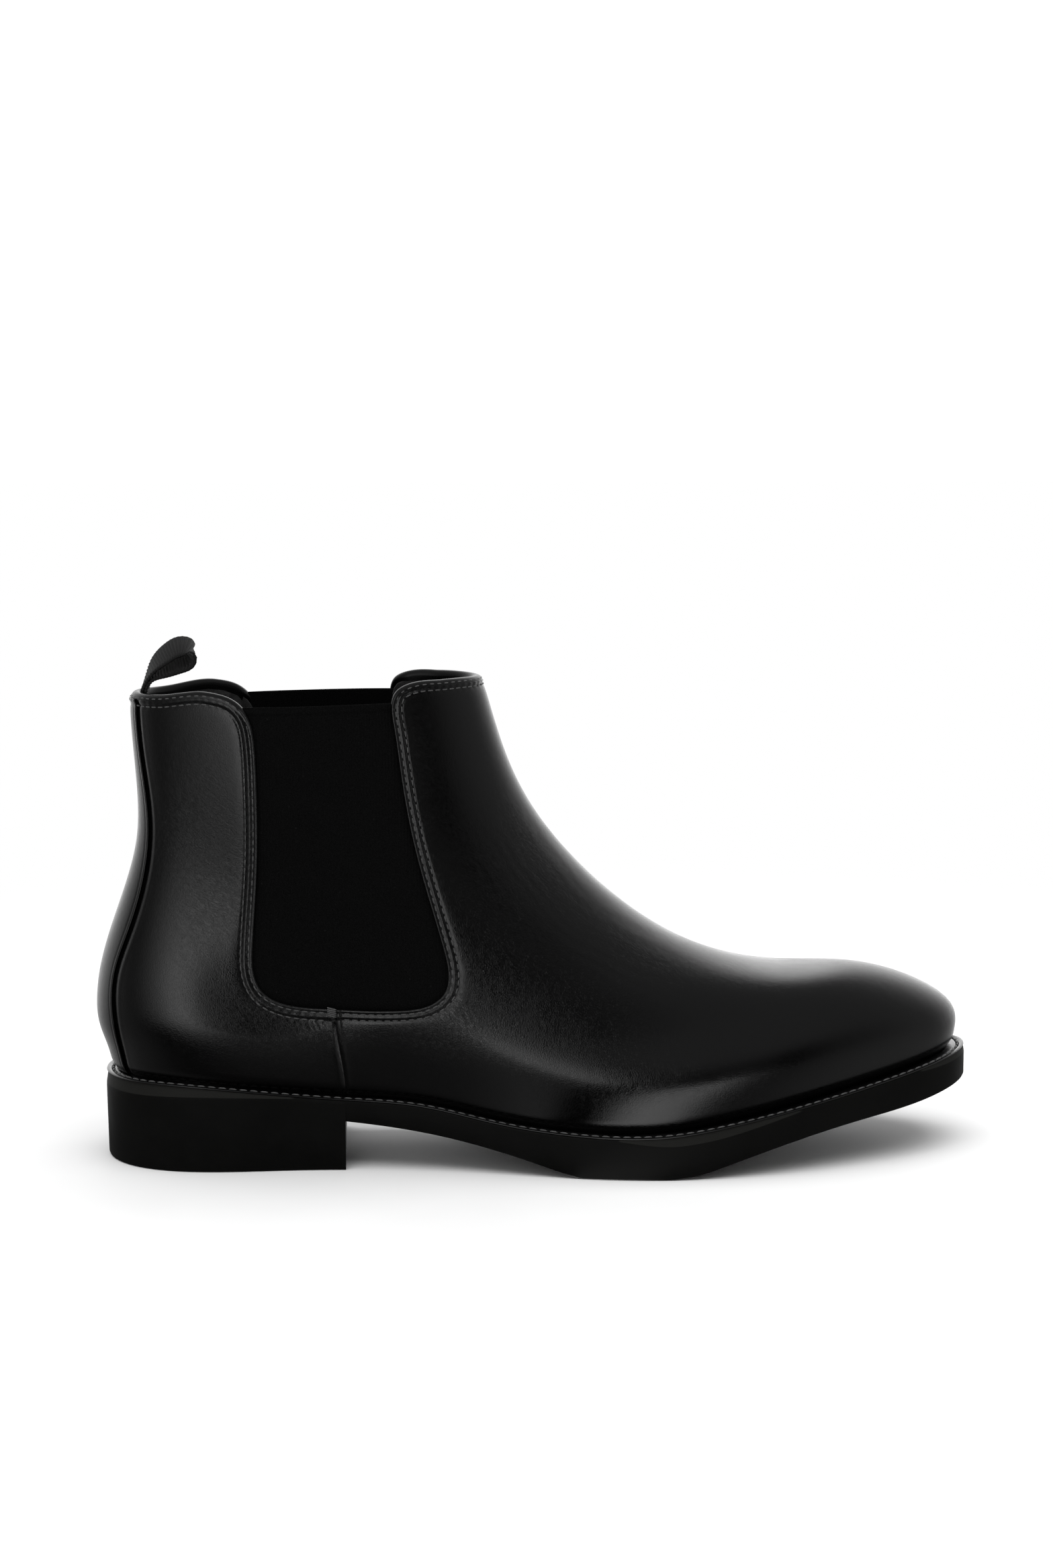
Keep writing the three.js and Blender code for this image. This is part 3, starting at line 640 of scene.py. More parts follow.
@dataclass(frozen=True)
class Wrinkles:
    """Soft creases of the leather round a place, all leaning one way in the side view."""

    centre: tuple[float, float]
    reach: tuple[float, float]
    lean: float
    pitch: float
    height: float
    seed: float

    def __call__(self, points: Array) -> Array:
        """Height over the plain surface: bent sine waves under an oval bell."""
        x, z = points[:, 0] - self.centre[0], points[:, 2] - self.centre[1]
        along = x * math.cos(self.lean) + z * math.sin(self.lean)
        across = -x * math.sin(self.lean) + z * math.cos(self.lean)
        oval = bell(along, self.reach[0]) * bell(across, self.reach[1])
        bend = 1.4 * np.sin(along / self.reach[0] * 2.1 + self.seed)
        bend += 0.6 * np.sin(along * 0.31 + 3 * self.seed)
        wave = np.sin(2 * math.pi * across / self.pitch + bend)
        return self.height * oval * wave * np.sin(across * 0.83 / self.pitch + self.seed)


# ---- meshes
@dataclass
class Body:
    """Vertices and quads of a piece in the making, with values kept at each vertex."""

    vertices: Array
    quads: Array
    values: dict[str, Array] = field(default_factory=dict)

    def joined(self, other: "Body") -> "Body":
        """This body and another as one, without their values."""
        return Body(np.vstack([self.vertices, other.vertices]),
                    np.vstack([self.quads, other.quads + len(self.vertices)]))

    def welded(self, tolerance: float = 1e-4) -> "Body":
        """The body with coinciding vertices made one."""
        keys = np.round(self.vertices / tolerance).astype(np.int64)
        _, first, to = np.unique(keys, axis=0, return_index=True, return_inverse=True)
        to = to.ravel()
        return Body(self.vertices[first], to[self.quads],
                    {name: value[first] for name, value in self.values.items()})

    def outward(self) -> "Body":
        """The body with its quads facing out, by the sign of the volume they enclose."""
        a, b, c, d = (self.vertices[self.quads[:, i]] for i in range(4))
        volume = (np.cross(a, b) * c).sum() + (np.cross(a, c) * d).sum()
        return Body(self.vertices, self.quads if volume > 0 else self.quads[:, ::-1], self.values)


def grid_quads(rows: int, columns: int, closed_rows: bool = False, closed_columns: bool = False) -> Array:
    """Quads of a grid whose vertices are numbered row by row."""
    i = np.arange(rows if closed_rows else rows - 1)
    j = np.arange(columns if closed_columns else columns - 1)
    i, j = (a.ravel() for a in np.meshgrid(i, j, indexing="ij"))
    i2, j2 = (i + 1) % rows, (j + 1) % columns
    return np.column_stack([i * columns + j, i2 * columns + j, i2 * columns + j2, i * columns + j2])


def mesh_piece(name: str, body: Body, place: Placement, sharp: float | None = None) -> bpy.types.Object:
    """Blender object of a body, at the origin, with its values as attributes.

    Args:
        name: name of the piece.
        body: its vertices in millimetres and its quads; a quad with a repeated corner becomes a triangle.
        place: where millimetres go in the scene.
        sharp: angle in degrees past which an edge is drawn sharp, or None for a piece smooth all over.

    Returns:
        The new object, linked to the scene.
    """
    quads = body.quads
    same = quads == np.roll(quads, -1, axis=1)
    proper = same.sum(1) <= 1
    keep = ~same
    quads, keep = quads[proper], keep[proper]
    sizes = keep.sum(1)
    mesh = bpy.data.meshes.new(name)
    mesh.vertices.add(len(body.vertices))
    mesh.vertices.foreach_set("co", place(body.vertices).astype(np.float32).ravel())
    mesh.loops.add(int(sizes.sum()))
    mesh.loops.foreach_set("vertex_index", quads[keep].astype(np.int32))
    mesh.polygons.add(len(quads))
    mesh.polygons.foreach_set("loop_start", np.concatenate([[0], np.cumsum(sizes)[:-1]]).astype(np.int32))
    mesh.polygons.foreach_set("use_smooth", np.ones(len(quads), bool))
    mesh.update(calc_edges=True)
    for key, value in body.values.items():
        mesh.attributes.new(key, "FLOAT", "POINT").data.foreach_set("value", value.astype(np.float32))
    mesh.validate()
    if sharp is not None:
        mesh.set_sharp_from_angle(angle=math.radians(sharp))
    piece = bpy.data.objects.new(name, mesh)
    bpy.context.scene.collection.objects.link(piece)
    return piece


@dataclass(frozen=True)
class Layer:
    """Where a layer of the upper lies below the outer surface, and how its edges are finished."""

    depth: float = 0.0
    thickness: float = LEATHER_THICKNESS
    rim: float = 0.55
    tuck: float = 1.3


def layer_body(patches: Patches, layer: Layer, reliefs: Sequence[Relief] = (),
               marks: dict[str, Relief] | None = None) -> Body:
    """Closed shell of a layer of the upper, from patches that share their sides.

    The outer skin is the form moved in by the depth and out by the reliefs, the inner skin lies one thickness
    below, and half-round rims join them: the section goes from skin to skin as (1 - cos)/2 and out as sin.

    Args:
        patches: places (n, m, 2), each with whether its faces must be turned over.
        layer: depth, thickness and rim.
        reliefs: heights added to the outer skin.
        marks: values kept at each vertex, worked out from the plain surface.

    Returns:
        The closed shell.
    """
    flat, quads, offset = [], [], 0
    for places, turned in patches:
        face = grid_quads(places.shape[0], places.shape[1])
        quads.append((face[:, ::-1] if turned else face) + offset)
        flat.append(places.reshape(-1, 2))
        offset += len(flat[-1])
    places = np.vstack(flat)
    plain = UPPER.point(places[:, 0], places[:, 1])
    skin = Body(plain, np.vstack(quads), {"angle": places[:, 0], "row": places[:, 1]}).welded(1e-3)
    normal = UPPER.normal(skin.values["angle"], skin.values["row"])
    plain, quads = skin.vertices, skin.quads
    height = sum((relief(plain) for relief in reliefs), np.zeros(len(plain)))
    tuck = layer.tuck * np.clip(1 - skin.values["row"] / 0.035, 0, 1) ** 2
    outer = plain + normal * (height - layer.depth - tuck)[:, None]
    inner = plain - normal * (layer.depth + layer.thickness + tuck)[:, None]

    edges = np.vstack([quads[:, [i, (i + 1) % 4]] for i in range(4)])
    edges = edges[edges[:, 0] != edges[:, 1]]
    key = np.sort(edges, axis=1) @ np.array([len(plain), 1])
    _, first, uses = np.unique(key, return_index=True, return_counts=True)
    edge = edges[first[uses == 1]]
    out = np.zeros_like(plain)
    sideways = np.cross(unit(outer[edge[:, 1]] - outer[edge[:, 0]]), normal[edge[:, 0]])
    np.add.at(out, edge[:, 0], sideways)
    np.add.at(out, edge[:, 1], sideways)
    out = unit(out)

    count, rings = len(plain), 5
    border = np.unique(edge)
    index = np.full(count, -1)
    index[border] = np.arange(len(border))
    angle = math.pi * np.arange(1, rings) / rings
    ring_points = [outer[border] + (inner[border] - outer[border]) * (1 - math.cos(a)) / 2
                   + out[border] * layer.rim * math.sin(a) for a in angle]
    middle_rings = 2 * count + np.arange((rings - 1) * len(border)).reshape(rings - 1, -1)
    levels = np.vstack([border, middle_rings, border + count])
    start, end = index[edge[:, 0]], index[edge[:, 1]]
    rim = np.vstack([np.column_stack([above[end], above[start], below[start], below[end]])
                     for above, below in zip(levels, levels[1:])])
    vertices = np.vstack([outer, inner, *ring_points])
    values = {}
    for name, mark in (marks or {}).items():
        at_skin = mark(plain)
        values[name] = np.concatenate([at_skin, at_skin, *([at_skin[border]] * (rings - 1))])
    return Body(vertices, np.vstack([quads, quads[:, ::-1] + count, rim]), values).outward()


def swept(path: Array, across: Array, up: Array, profile: Array, closed: bool = False) -> Body:
    """A closed profile carried along a path.

    Args:
        path: points (n, 3).
        across: unit vectors (n, 3) for the profile's first coordinate.
        up: unit vectors (n, 3) for the second.
        profile: (m, 2), the same all along, or (n, m, 2).
        closed: whether the path closes on itself; otherwise its ends are capped by folding to the middle.

    Returns:
        The closed surface.
    """
    profile = np.broadcast_to(profile, (len(path), *np.shape(profile)[-2:]))
    rings = path[:, None] + across[:, None] * profile[..., :1] + up[:, None] * profile[..., 1:]
    if not closed:
        rings = np.concatenate([np.broadcast_to(rings[:1].mean(1, keepdims=True), rings[:1].shape), rings,
                                np.broadcast_to(rings[-1:].mean(1, keepdims=True), rings[:1].shape)])
    count, columns = rings.shape[:2]
    return Body(rings.reshape(-1, 3), grid_quads(count, columns, closed, True)).welded().outward()


@dataclass(frozen=True)
class Thread:
    """A row of visible stitches: each is a short strand that dives into the leather at both ends."""

    pitch: float = 2.8
    length: float = 2.0
    radius: float = 0.26
    lift: float = -0.05

    def along(self, points: Array, normals: Array) -> Body:
        """Stitches set evenly along a line of points that has normals."""
        run = run_along(points)
        count = max(int(run[-1] / self.pitch), 1)
        centre = (np.arange(count) + 0.5) * run[-1] / count

        def sample(values: Array, at: Array) -> Array:
            """Values at distances along the line."""
            return np.stack([np.interp(at, run, values[:, i]) for i in range(3)], axis=-1)

        middle, normal = sample(points, centre), unit(sample(normals, centre))
        along = unit(sample(points, centre + 0.3) - sample(points, centre - 0.3))
        return self.strands(middle, along, normal)

    def strands(self, middle: Array, along: Array, normal: Array) -> Body:
        """Stitches at given middles: six rings of six points, thinner and lower at both ends."""
        side = unit(np.cross(normal, along))
        share = np.array([-1, -0.86, -0.45, 0.45, 0.86, 1])
        width = np.array([0.25, 0.8, 1, 1, 0.8, 0.25]) * self.radius
        fall = np.array([0.55, 0.25, 0, 0, 0.25, 0.55])
        turn = np.arange(6) * math.pi / 3
        ring = (middle[:, None] + along[:, None] * (share * self.length / 2)[None, :, None]
                + normal[:, None] * (self.lift - fall * self.radius * 1.6)[None, :, None])
        circle = (side[:, None] * np.cos(turn)[None, :, None] + normal[:, None] * np.sin(turn)[None, :, None])
        points = ring[:, :, None] + circle[:, None] * width[None, :, None, None]
        one = np.vstack([grid_quads(6, 6, False, True), [[0, 1, 2, 3], [0, 3, 4, 5]],
                         [[33, 32, 31, 30], [35, 34, 33, 30]]])
        quads = one[None] + 36 * np.arange(len(middle))[:, None, None]
        return Body(points.reshape(-1, 3), quads.reshape(-1, 4)).outward()


# ---- shading
class Graph:
    """Short ways to add and wire the nodes of one shader tree."""

    def __init__(self, tree: bpy.types.NodeTree) -> None:
        """Works on a tree."""
        self.tree = tree

    def add(self, kind: str, inputs: dict | None = None, **settings: object) -> bpy.types.Node:
        """A node with settings, and inputs that are values or sockets to link from."""
        node = self.tree.nodes.new(kind)
        node.location = (len(self.tree.nodes) % 9 * 190, -(len(self.tree.nodes) // 9) * 260)
        for key, value in settings.items():
            setattr(node, key, value)
        for key, value in (inputs or {}).items():
            if isinstance(value, Socket):
                self.tree.links.new(value, node.inputs[key])
            else:
                node.inputs[key].default_value = value
        return node

    def math(self, operation: str, *values: object) -> Socket:
        """Result of a Math node."""
        return self.add("ShaderNodeMath", dict(enumerate(values)), operation=operation).outputs[0]

    def ramp(self, value: object, low: float, high: float, to_low: float = 0.0,
             to_high: float = 1.0) -> Socket:
        """A value carried smoothly from one range to another."""
        node = self.add("ShaderNodeMapRange", {"Value": value, "From Min": low, "From Max": high,
                                               "To Min": to_low, "To Max": to_high},
                        interpolation_type="SMOOTHSTEP")
        return node.outputs["Result"]

    def noise(self, vector: object, scale: float, detail: float = 2.0,
              rough: float = 0.5) -> Socket:
        """Fractal noise."""
        return self.add("ShaderNodeTexNoise", {"Vector": vector, "Scale": scale, "Detail": detail,
                                               "Roughness": rough}).outputs["Fac"]

    def group(self, tree: bpy.types.NodeTree, **inputs: object) -> bpy.types.Node:
        """A shader group with its inputs."""
        return self.add("ShaderNodeGroup", {key.replace("_", " "): value for key, value in inputs.items()},
                        node_tree=tree)

    def stretched(self, vector: object, turn: tuple[float, float, float],
                  scale: tuple[float, float, float]) -> Socket:
        """Coordinates turned, then stretched."""
        turned = self.add("ShaderNodeMapping", {"Vector": vector, "Rotation": turn}).outputs[0]
        return self.add("ShaderNodeMapping", {"Vector": turned, "Scale": scale}).outputs[0]

    def mix(self, share: object, low: tuple[float, float, float],
            high: tuple[float, float, float]) -> Socket:
        """Colour between two."""
        node = self.add("ShaderNodeMix", {0: share, 6: (*low, 1), 7: (*high, 1)}, data_type="RGBA",
                        clamp_factor=False)
        return node.outputs[2]


def shader_group(name: str, inputs: dict[str, float | None], outputs: Sequence[str],
                 wire: Callable[[Graph, dict, dict], None]) -> bpy.types.NodeTree:
    """A node group, made once.

    Args:
        name: name of the group.
        inputs: first value of each input, or None for a vector.
        outputs: names of float outputs.
        wire: adds the nodes between the input and the output sockets.

    Returns:
        The group.
    """
    if name in bpy.data.node_groups:
        return bpy.data.node_groups[name]
    tree = bpy.data.node_groups.new(name, "ShaderNodeTree")
    for key, value in inputs.items():
        kind = "NodeSocketVector" if value is None else "NodeSocketFloat"
        socket = tree.interface.new_socket(key, in_out="INPUT", socket_type=kind)
        if value is not None:
            socket.default_value = value
    for key in outputs:
        tree.interface.new_socket(key, in_out="OUTPUT", socket_type="NodeSocketFloat")
    graph = Graph(tree)
    source, sink = graph.add("NodeGroupInput"), graph.add("NodeGroupOutput")
    results: dict = {}
    wire(graph, {key: source.outputs[key] for key in inputs}, results)
    for key in outputs:
        tree.links.new(results[key], sink.inputs[key])
    return tree


def leather_grain() -> bpy.types.NodeTree:
    """Grain of smooth leather: pebbles between fine creases, soft swells and pores."""

    def wire(graph: Graph, given: dict, results: dict) -> None:
        """Distance to the pebbles' edges, rounded, plus noise at three scales and leaning creases."""
        vector = given["Vector"]
        sway = graph.add("ShaderNodeTexNoise", {"Vector": vector, "Scale": 420.0, "Detail": 2.0})
        bent = graph.add("ShaderNodeVectorMath", {0: sway.outputs["Color"], "Scale": 0.0011},
                         operation="SCALE")
        at = graph.add("ShaderNodeVectorMath", {0: vector, 1: bent.outputs[0]}, operation="ADD").outputs[0]
        cells = graph.add("ShaderNodeTexVoronoi", {"Vector": at, "Scale": given["Pebble scale"]},
                          feature="DISTANCE_TO_EDGE").outputs["Distance"]
        pebble = graph.ramp(cells, 0.0, 0.28)
        pores = graph.noise(at, 3600.0, 2.0, 0.6)
        swell = graph.noise(vector, 260.0, 3.0, 0.55)
        leaning = graph.stretched(at, (0.0, math.radians(-38), 0.0), (260, 900, 1700))
        lines = graph.noise(leaning, 1.0, 3.0, 0.6)
        folds = graph.math("ABSOLUTE", graph.math("SUBTRACT", lines, 0.5))
        folds = graph.math("MULTIPLY", graph.ramp(folds, 0.0, 0.09), given["Crease"])
        height = graph.math("MULTIPLY", pebble, 0.24)
        height = graph.math("MULTIPLY_ADD", pores, 0.06, height)
        height = graph.math("MULTIPLY_ADD", swell, 0.4, height)
        results["Height"] = graph.math("MULTIPLY_ADD", folds, 0.5, height)
        results["Pebble"] = pebble
        results["Blotch"] = graph.noise(vector, 38.0, 3.0, 0.55)

    return shader_group("leather grain", {"Vector": None, "Pebble scale": 1500.0, "Crease": 0.0},
                        ("Height", "Pebble", "Blotch"), wire)


def worn_edge() -> bpy.types.NodeTree:
    """Where edges rub: a broken mask from how sharply the surface turns."""

    def wire(graph: Graph, given: dict, results: dict) -> None:
        """Pointiness above the flat value, broken up by noise."""
        turned = graph.ramp(graph.add("ShaderNodeNewGeometry").outputs["Pointiness"], 0.505, 0.56)
        broken = graph.ramp(graph.noise(given["Vector"], 520.0, 3.0, 0.6), 0.38, 0.62)
        results["Mask"] = graph.math("MULTIPLY", graph.math("MULTIPLY", turned, broken), given["Amount"])

    return shader_group("worn edge", {"Vector": None, "Amount": 1.0}, ("Mask",), wire)


def woven_ribs() -> bpy.types.NodeTree:
    """Cord-like ribs with the thread's own twist over them, on coordinates in millimetres."""

    def wire(graph: Graph, given: dict, results: dict) -> None:
        """A sine across the ribs, a finer sine along them set off by half on every other rib, and fuzz."""
        parts = graph.add("ShaderNodeSeparateXYZ", {"Vector": given["Vector"]})
        across = graph.math("MULTIPLY", parts.outputs["X"], given["Ribs"])
        along = graph.math("MULTIPLY", parts.outputs["Y"], given["Threads"])
        rib = graph.math("SINE", graph.math("MULTIPLY", across, 2 * math.pi))
        odd = graph.math("MULTIPLY", graph.math("FLOOR", across), 0.5)
        thread = graph.math("SINE", graph.math("MULTIPLY", graph.math("ADD", along, odd), 2 * math.pi))
        fuzz = graph.noise(given["Vector"], 5.0, 3.0, 0.7)
        woven = graph.math("MULTIPLY_ADD", thread, 0.3, rib)
        results["Height"] = graph.math("MULTIPLY_ADD", fuzz, 0.5, woven)
        results["Fuzz"] = fuzz

    return shader_group("woven ribs", {"Vector": None, "Ribs": 1.0, "Threads": 2.0}, ("Height", "Fuzz"), wire)


def speckle() -> bpy.types.NodeTree:
    """Sparse specks, such as lint or dust."""

    def wire(graph: Graph, given: dict, results: dict) -> None:
        """Points of a cell pattern kept where a random number of the cell is high."""
        cells = graph.add("ShaderNodeTexVoronoi", {"Vector": given["Vector"], "Scale": given["Scale"]})
        near = graph.ramp(cells.outputs["Distance"], given["Size"], 0.0)
        chance = graph.add("ShaderNodeSeparateColor", {"Color": cells.outputs["Color"]}).outputs[0]
        results["Mask"] = graph.math("MULTIPLY", near, graph.math("GREATER_THAN", chance, given["Rarity"]))

    inputs = {"Vector": None, "Scale": 300.0, "Size": 0.12, "Rarity": 0.9}
    return shader_group("speckle", inputs, ("Mask",), wire)


@dataclass(frozen=True)
class Gloss:
    """Values that are the same all over a surface."""

    specular: float = 0.5
    coat: float = 0.0
    coat_roughness: float = 0.2
    metallic: float = 0.0
    sheen: float = 0.0


@dataclass(frozen=True)
class Finish:
    """What every finish has: two colours, a roughness and the size of its bump."""

    name: str
    colour: Colour
    second: Colour
    roughness: float
    bump: float
    bump_distance: float
    gloss: Gloss

    def wire(self, graph: Graph, vector: object) -> tuple[object, object, object]:
        """Adds the finish's own nodes and gives its colour, roughness and bump height."""
        raise NotImplementedError

    def material(self) -> Material:
        """The finish as a material on Object coordinates."""
        material = bpy.data.materials.new(self.name)
        material.use_nodes = True
        graph = Graph(material.node_tree)
        shader = material.node_tree.nodes["Principled BSDF"]
        for socket, value in (("Specular IOR Level", self.gloss.specular), ("Coat Weight", self.gloss.coat),
                              ("Coat Roughness", self.gloss.coat_roughness),
                              ("Metallic", self.gloss.metallic), ("Sheen Weight", self.gloss.sheen)):
            shader.inputs[socket].default_value = value
        colour, rough, height = self.wire(graph, graph.add("ShaderNodeTexCoord").outputs["Object"])
        bump = graph.add("ShaderNodeBump", {"Height": height, "Strength": self.bump,
                                            "Distance": self.bump_distance})
        for socket, result in (("Base Color", colour), ("Roughness", rough),
                               ("Normal", bump.outputs["Normal"])):
            graph.tree.links.new(result, shader.inputs[socket])
        return material


@dataclass(frozen=True)
class LeatherFinish(Finish):
    """Polished black leather."""

    colour: Colour = (0.0005, 0.0005, 0.00055)
    second: Colour = (0.003, 0.003, 0.003)
    roughness: float = 0.22
    bump: float = 0.7
    bump_distance: float = 0.0001
    gloss: Gloss = Gloss(specular=0.46, coat=0.1, coat_roughness=0.12)
    pebble_scale: float = 1500.0

    def wire(self, graph: Graph, vector: object) -> tuple[object, object, object]:
        """Grain, roughness that varies with grain and handling, and rubbed edges."""
        crease = graph.add("ShaderNodeAttribute", attribute_name="crease").outputs["Fac"]
        grain = graph.group(leather_grain(), Vector=vector, Crease=crease,
                            Pebble_scale=self.pebble_scale).outputs
        edge = graph.group(worn_edge(), Vector=vector, Amount=0.8).outputs["Mask"]
        rough = graph.ramp(grain["Blotch"], 0.3, 0.7, self.roughness - 0.04, self.roughness + 0.05)
        rough = graph.math("MULTIPLY_ADD", grain["Pebble"], -0.03, rough)
        return graph.mix(edge, self.colour, self.second), rough, grain["Height"]


@dataclass(frozen=True)
class WovenFinish(Finish):
    """Black woven cloth: elastic, webbing or lining, on Object coordinates or the piece's own map."""

    roughness: float = 0.85
    bump: float = 0.6
    bump_distance: float = 0.0001
    gloss: Gloss = Gloss(specular=0.2, sheen=0.12)
    ribs: float = 1.0
    threads: float = 2.0
    mapped: bool = False

    def wire(self, graph: Graph, vector: object) -> tuple[object, object, object]:
        """Ribs and threads counted per millimetre, with a little lint caught in them."""
        at = (graph.add("ShaderNodeUVMap", uv_map="tape").outputs["UV"] if self.mapped else
              graph.stretched(vector, (math.pi / 2, 0, 0), (1000, 1000, 1000)))
        weave = graph.group(woven_ribs(), Vector=at, Ribs=self.ribs, Threads=self.threads).outputs
        lint = graph.group(speckle(), Vector=vector, Scale=420.0, Size=0.13, Rarity=0.86).outputs["Mask"]
        shade = graph.math("ADD", graph.ramp(weave["Fuzz"], 0.35, 0.75, 0.0, 0.5), lint)
        rough = graph.ramp(weave["Fuzz"], 0.3, 0.7, self.roughness - 0.06, self.roughness + 0.08)
        return graph.mix(graph.math("MINIMUM", shade, 1.0), self.colour, self.second), rough, weave["Height"]


@dataclass(frozen=True)
class PlainFinish(Finish):
    """Moulded, pressed or rolled material with fine texture, blotches and rubbed edges."""

    bump: float = 0.25
    bump_distance: float = 0.00005
    gloss: Gloss = Gloss()
    grain_scale: float = 1800.0
    blotch_scale: float = 60.0
    dust: float = 0.0
    wear: float = 0.5
    # strength of the painted highlight on the piece's band attribute: how much lighter the band is painted
    band: float = 0.0

    def wire(self, graph: Graph, vector: object) -> tuple[object, object, object]:
        """Fine noise, two-tone blotches, specks, rubbed edges and a painted highlight on the band where the
        piece has one.
        """
        blotch = graph.noise(vector, self.blotch_scale, 4.0, 0.55)
        edge = graph.group(worn_edge(), Vector=vector, Amount=self.wear).outputs["Mask"]
        shade = graph.math("ADD", graph.ramp(blotch, 0.35, 0.7, 0.0, 0.7), edge)
        if self.dust:
            specks = graph.group(speckle(), Vector=vector, Scale=170.0, Size=0.05, Rarity=0.9).outputs["Mask"]
            shade = graph.math("MULTIPLY_ADD", specks, self.dust, shade)
        # painted highlight: the band attribute makes the colour lighter there, standing in for the light that
        # the band catches
        if self.band:
            band = graph.add("ShaderNodeAttribute", attribute_name="band").outputs["Fac"]
            shade = graph.math("MULTIPLY_ADD", graph.ramp(band, 0.35, 0.65), self.band, shade)
        rough = graph.ramp(blotch, 0.3, 0.7, self.roughness - 0.06, self.roughness + 0.06)
        grain = graph.noise(vector, self.grain_scale, 3.0, 0.6)
        return graph.mix(shade, self.colour, self.second), rough, grain


@dataclass
class SubAssembly:
    """A group of pieces that ride on the boot's body."""

    place: Placement

    def piece(self, name: str, body: Body, material: Material, slot: str, *nodes: str,
              sharp: float | None = None) -> bpy.types.Object:
        """Makes a piece, gives it its material and hides the frame's nodes that it stands for."""
        piece = mesh_piece(name, body, self.place, sharp)
        piece.data.materials.append(material)
        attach(piece, "boot")
        if nodes:
            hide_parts(*nodes)
        log.info("%s: %d faces", name, len(piece.data.polygons))
        return piece


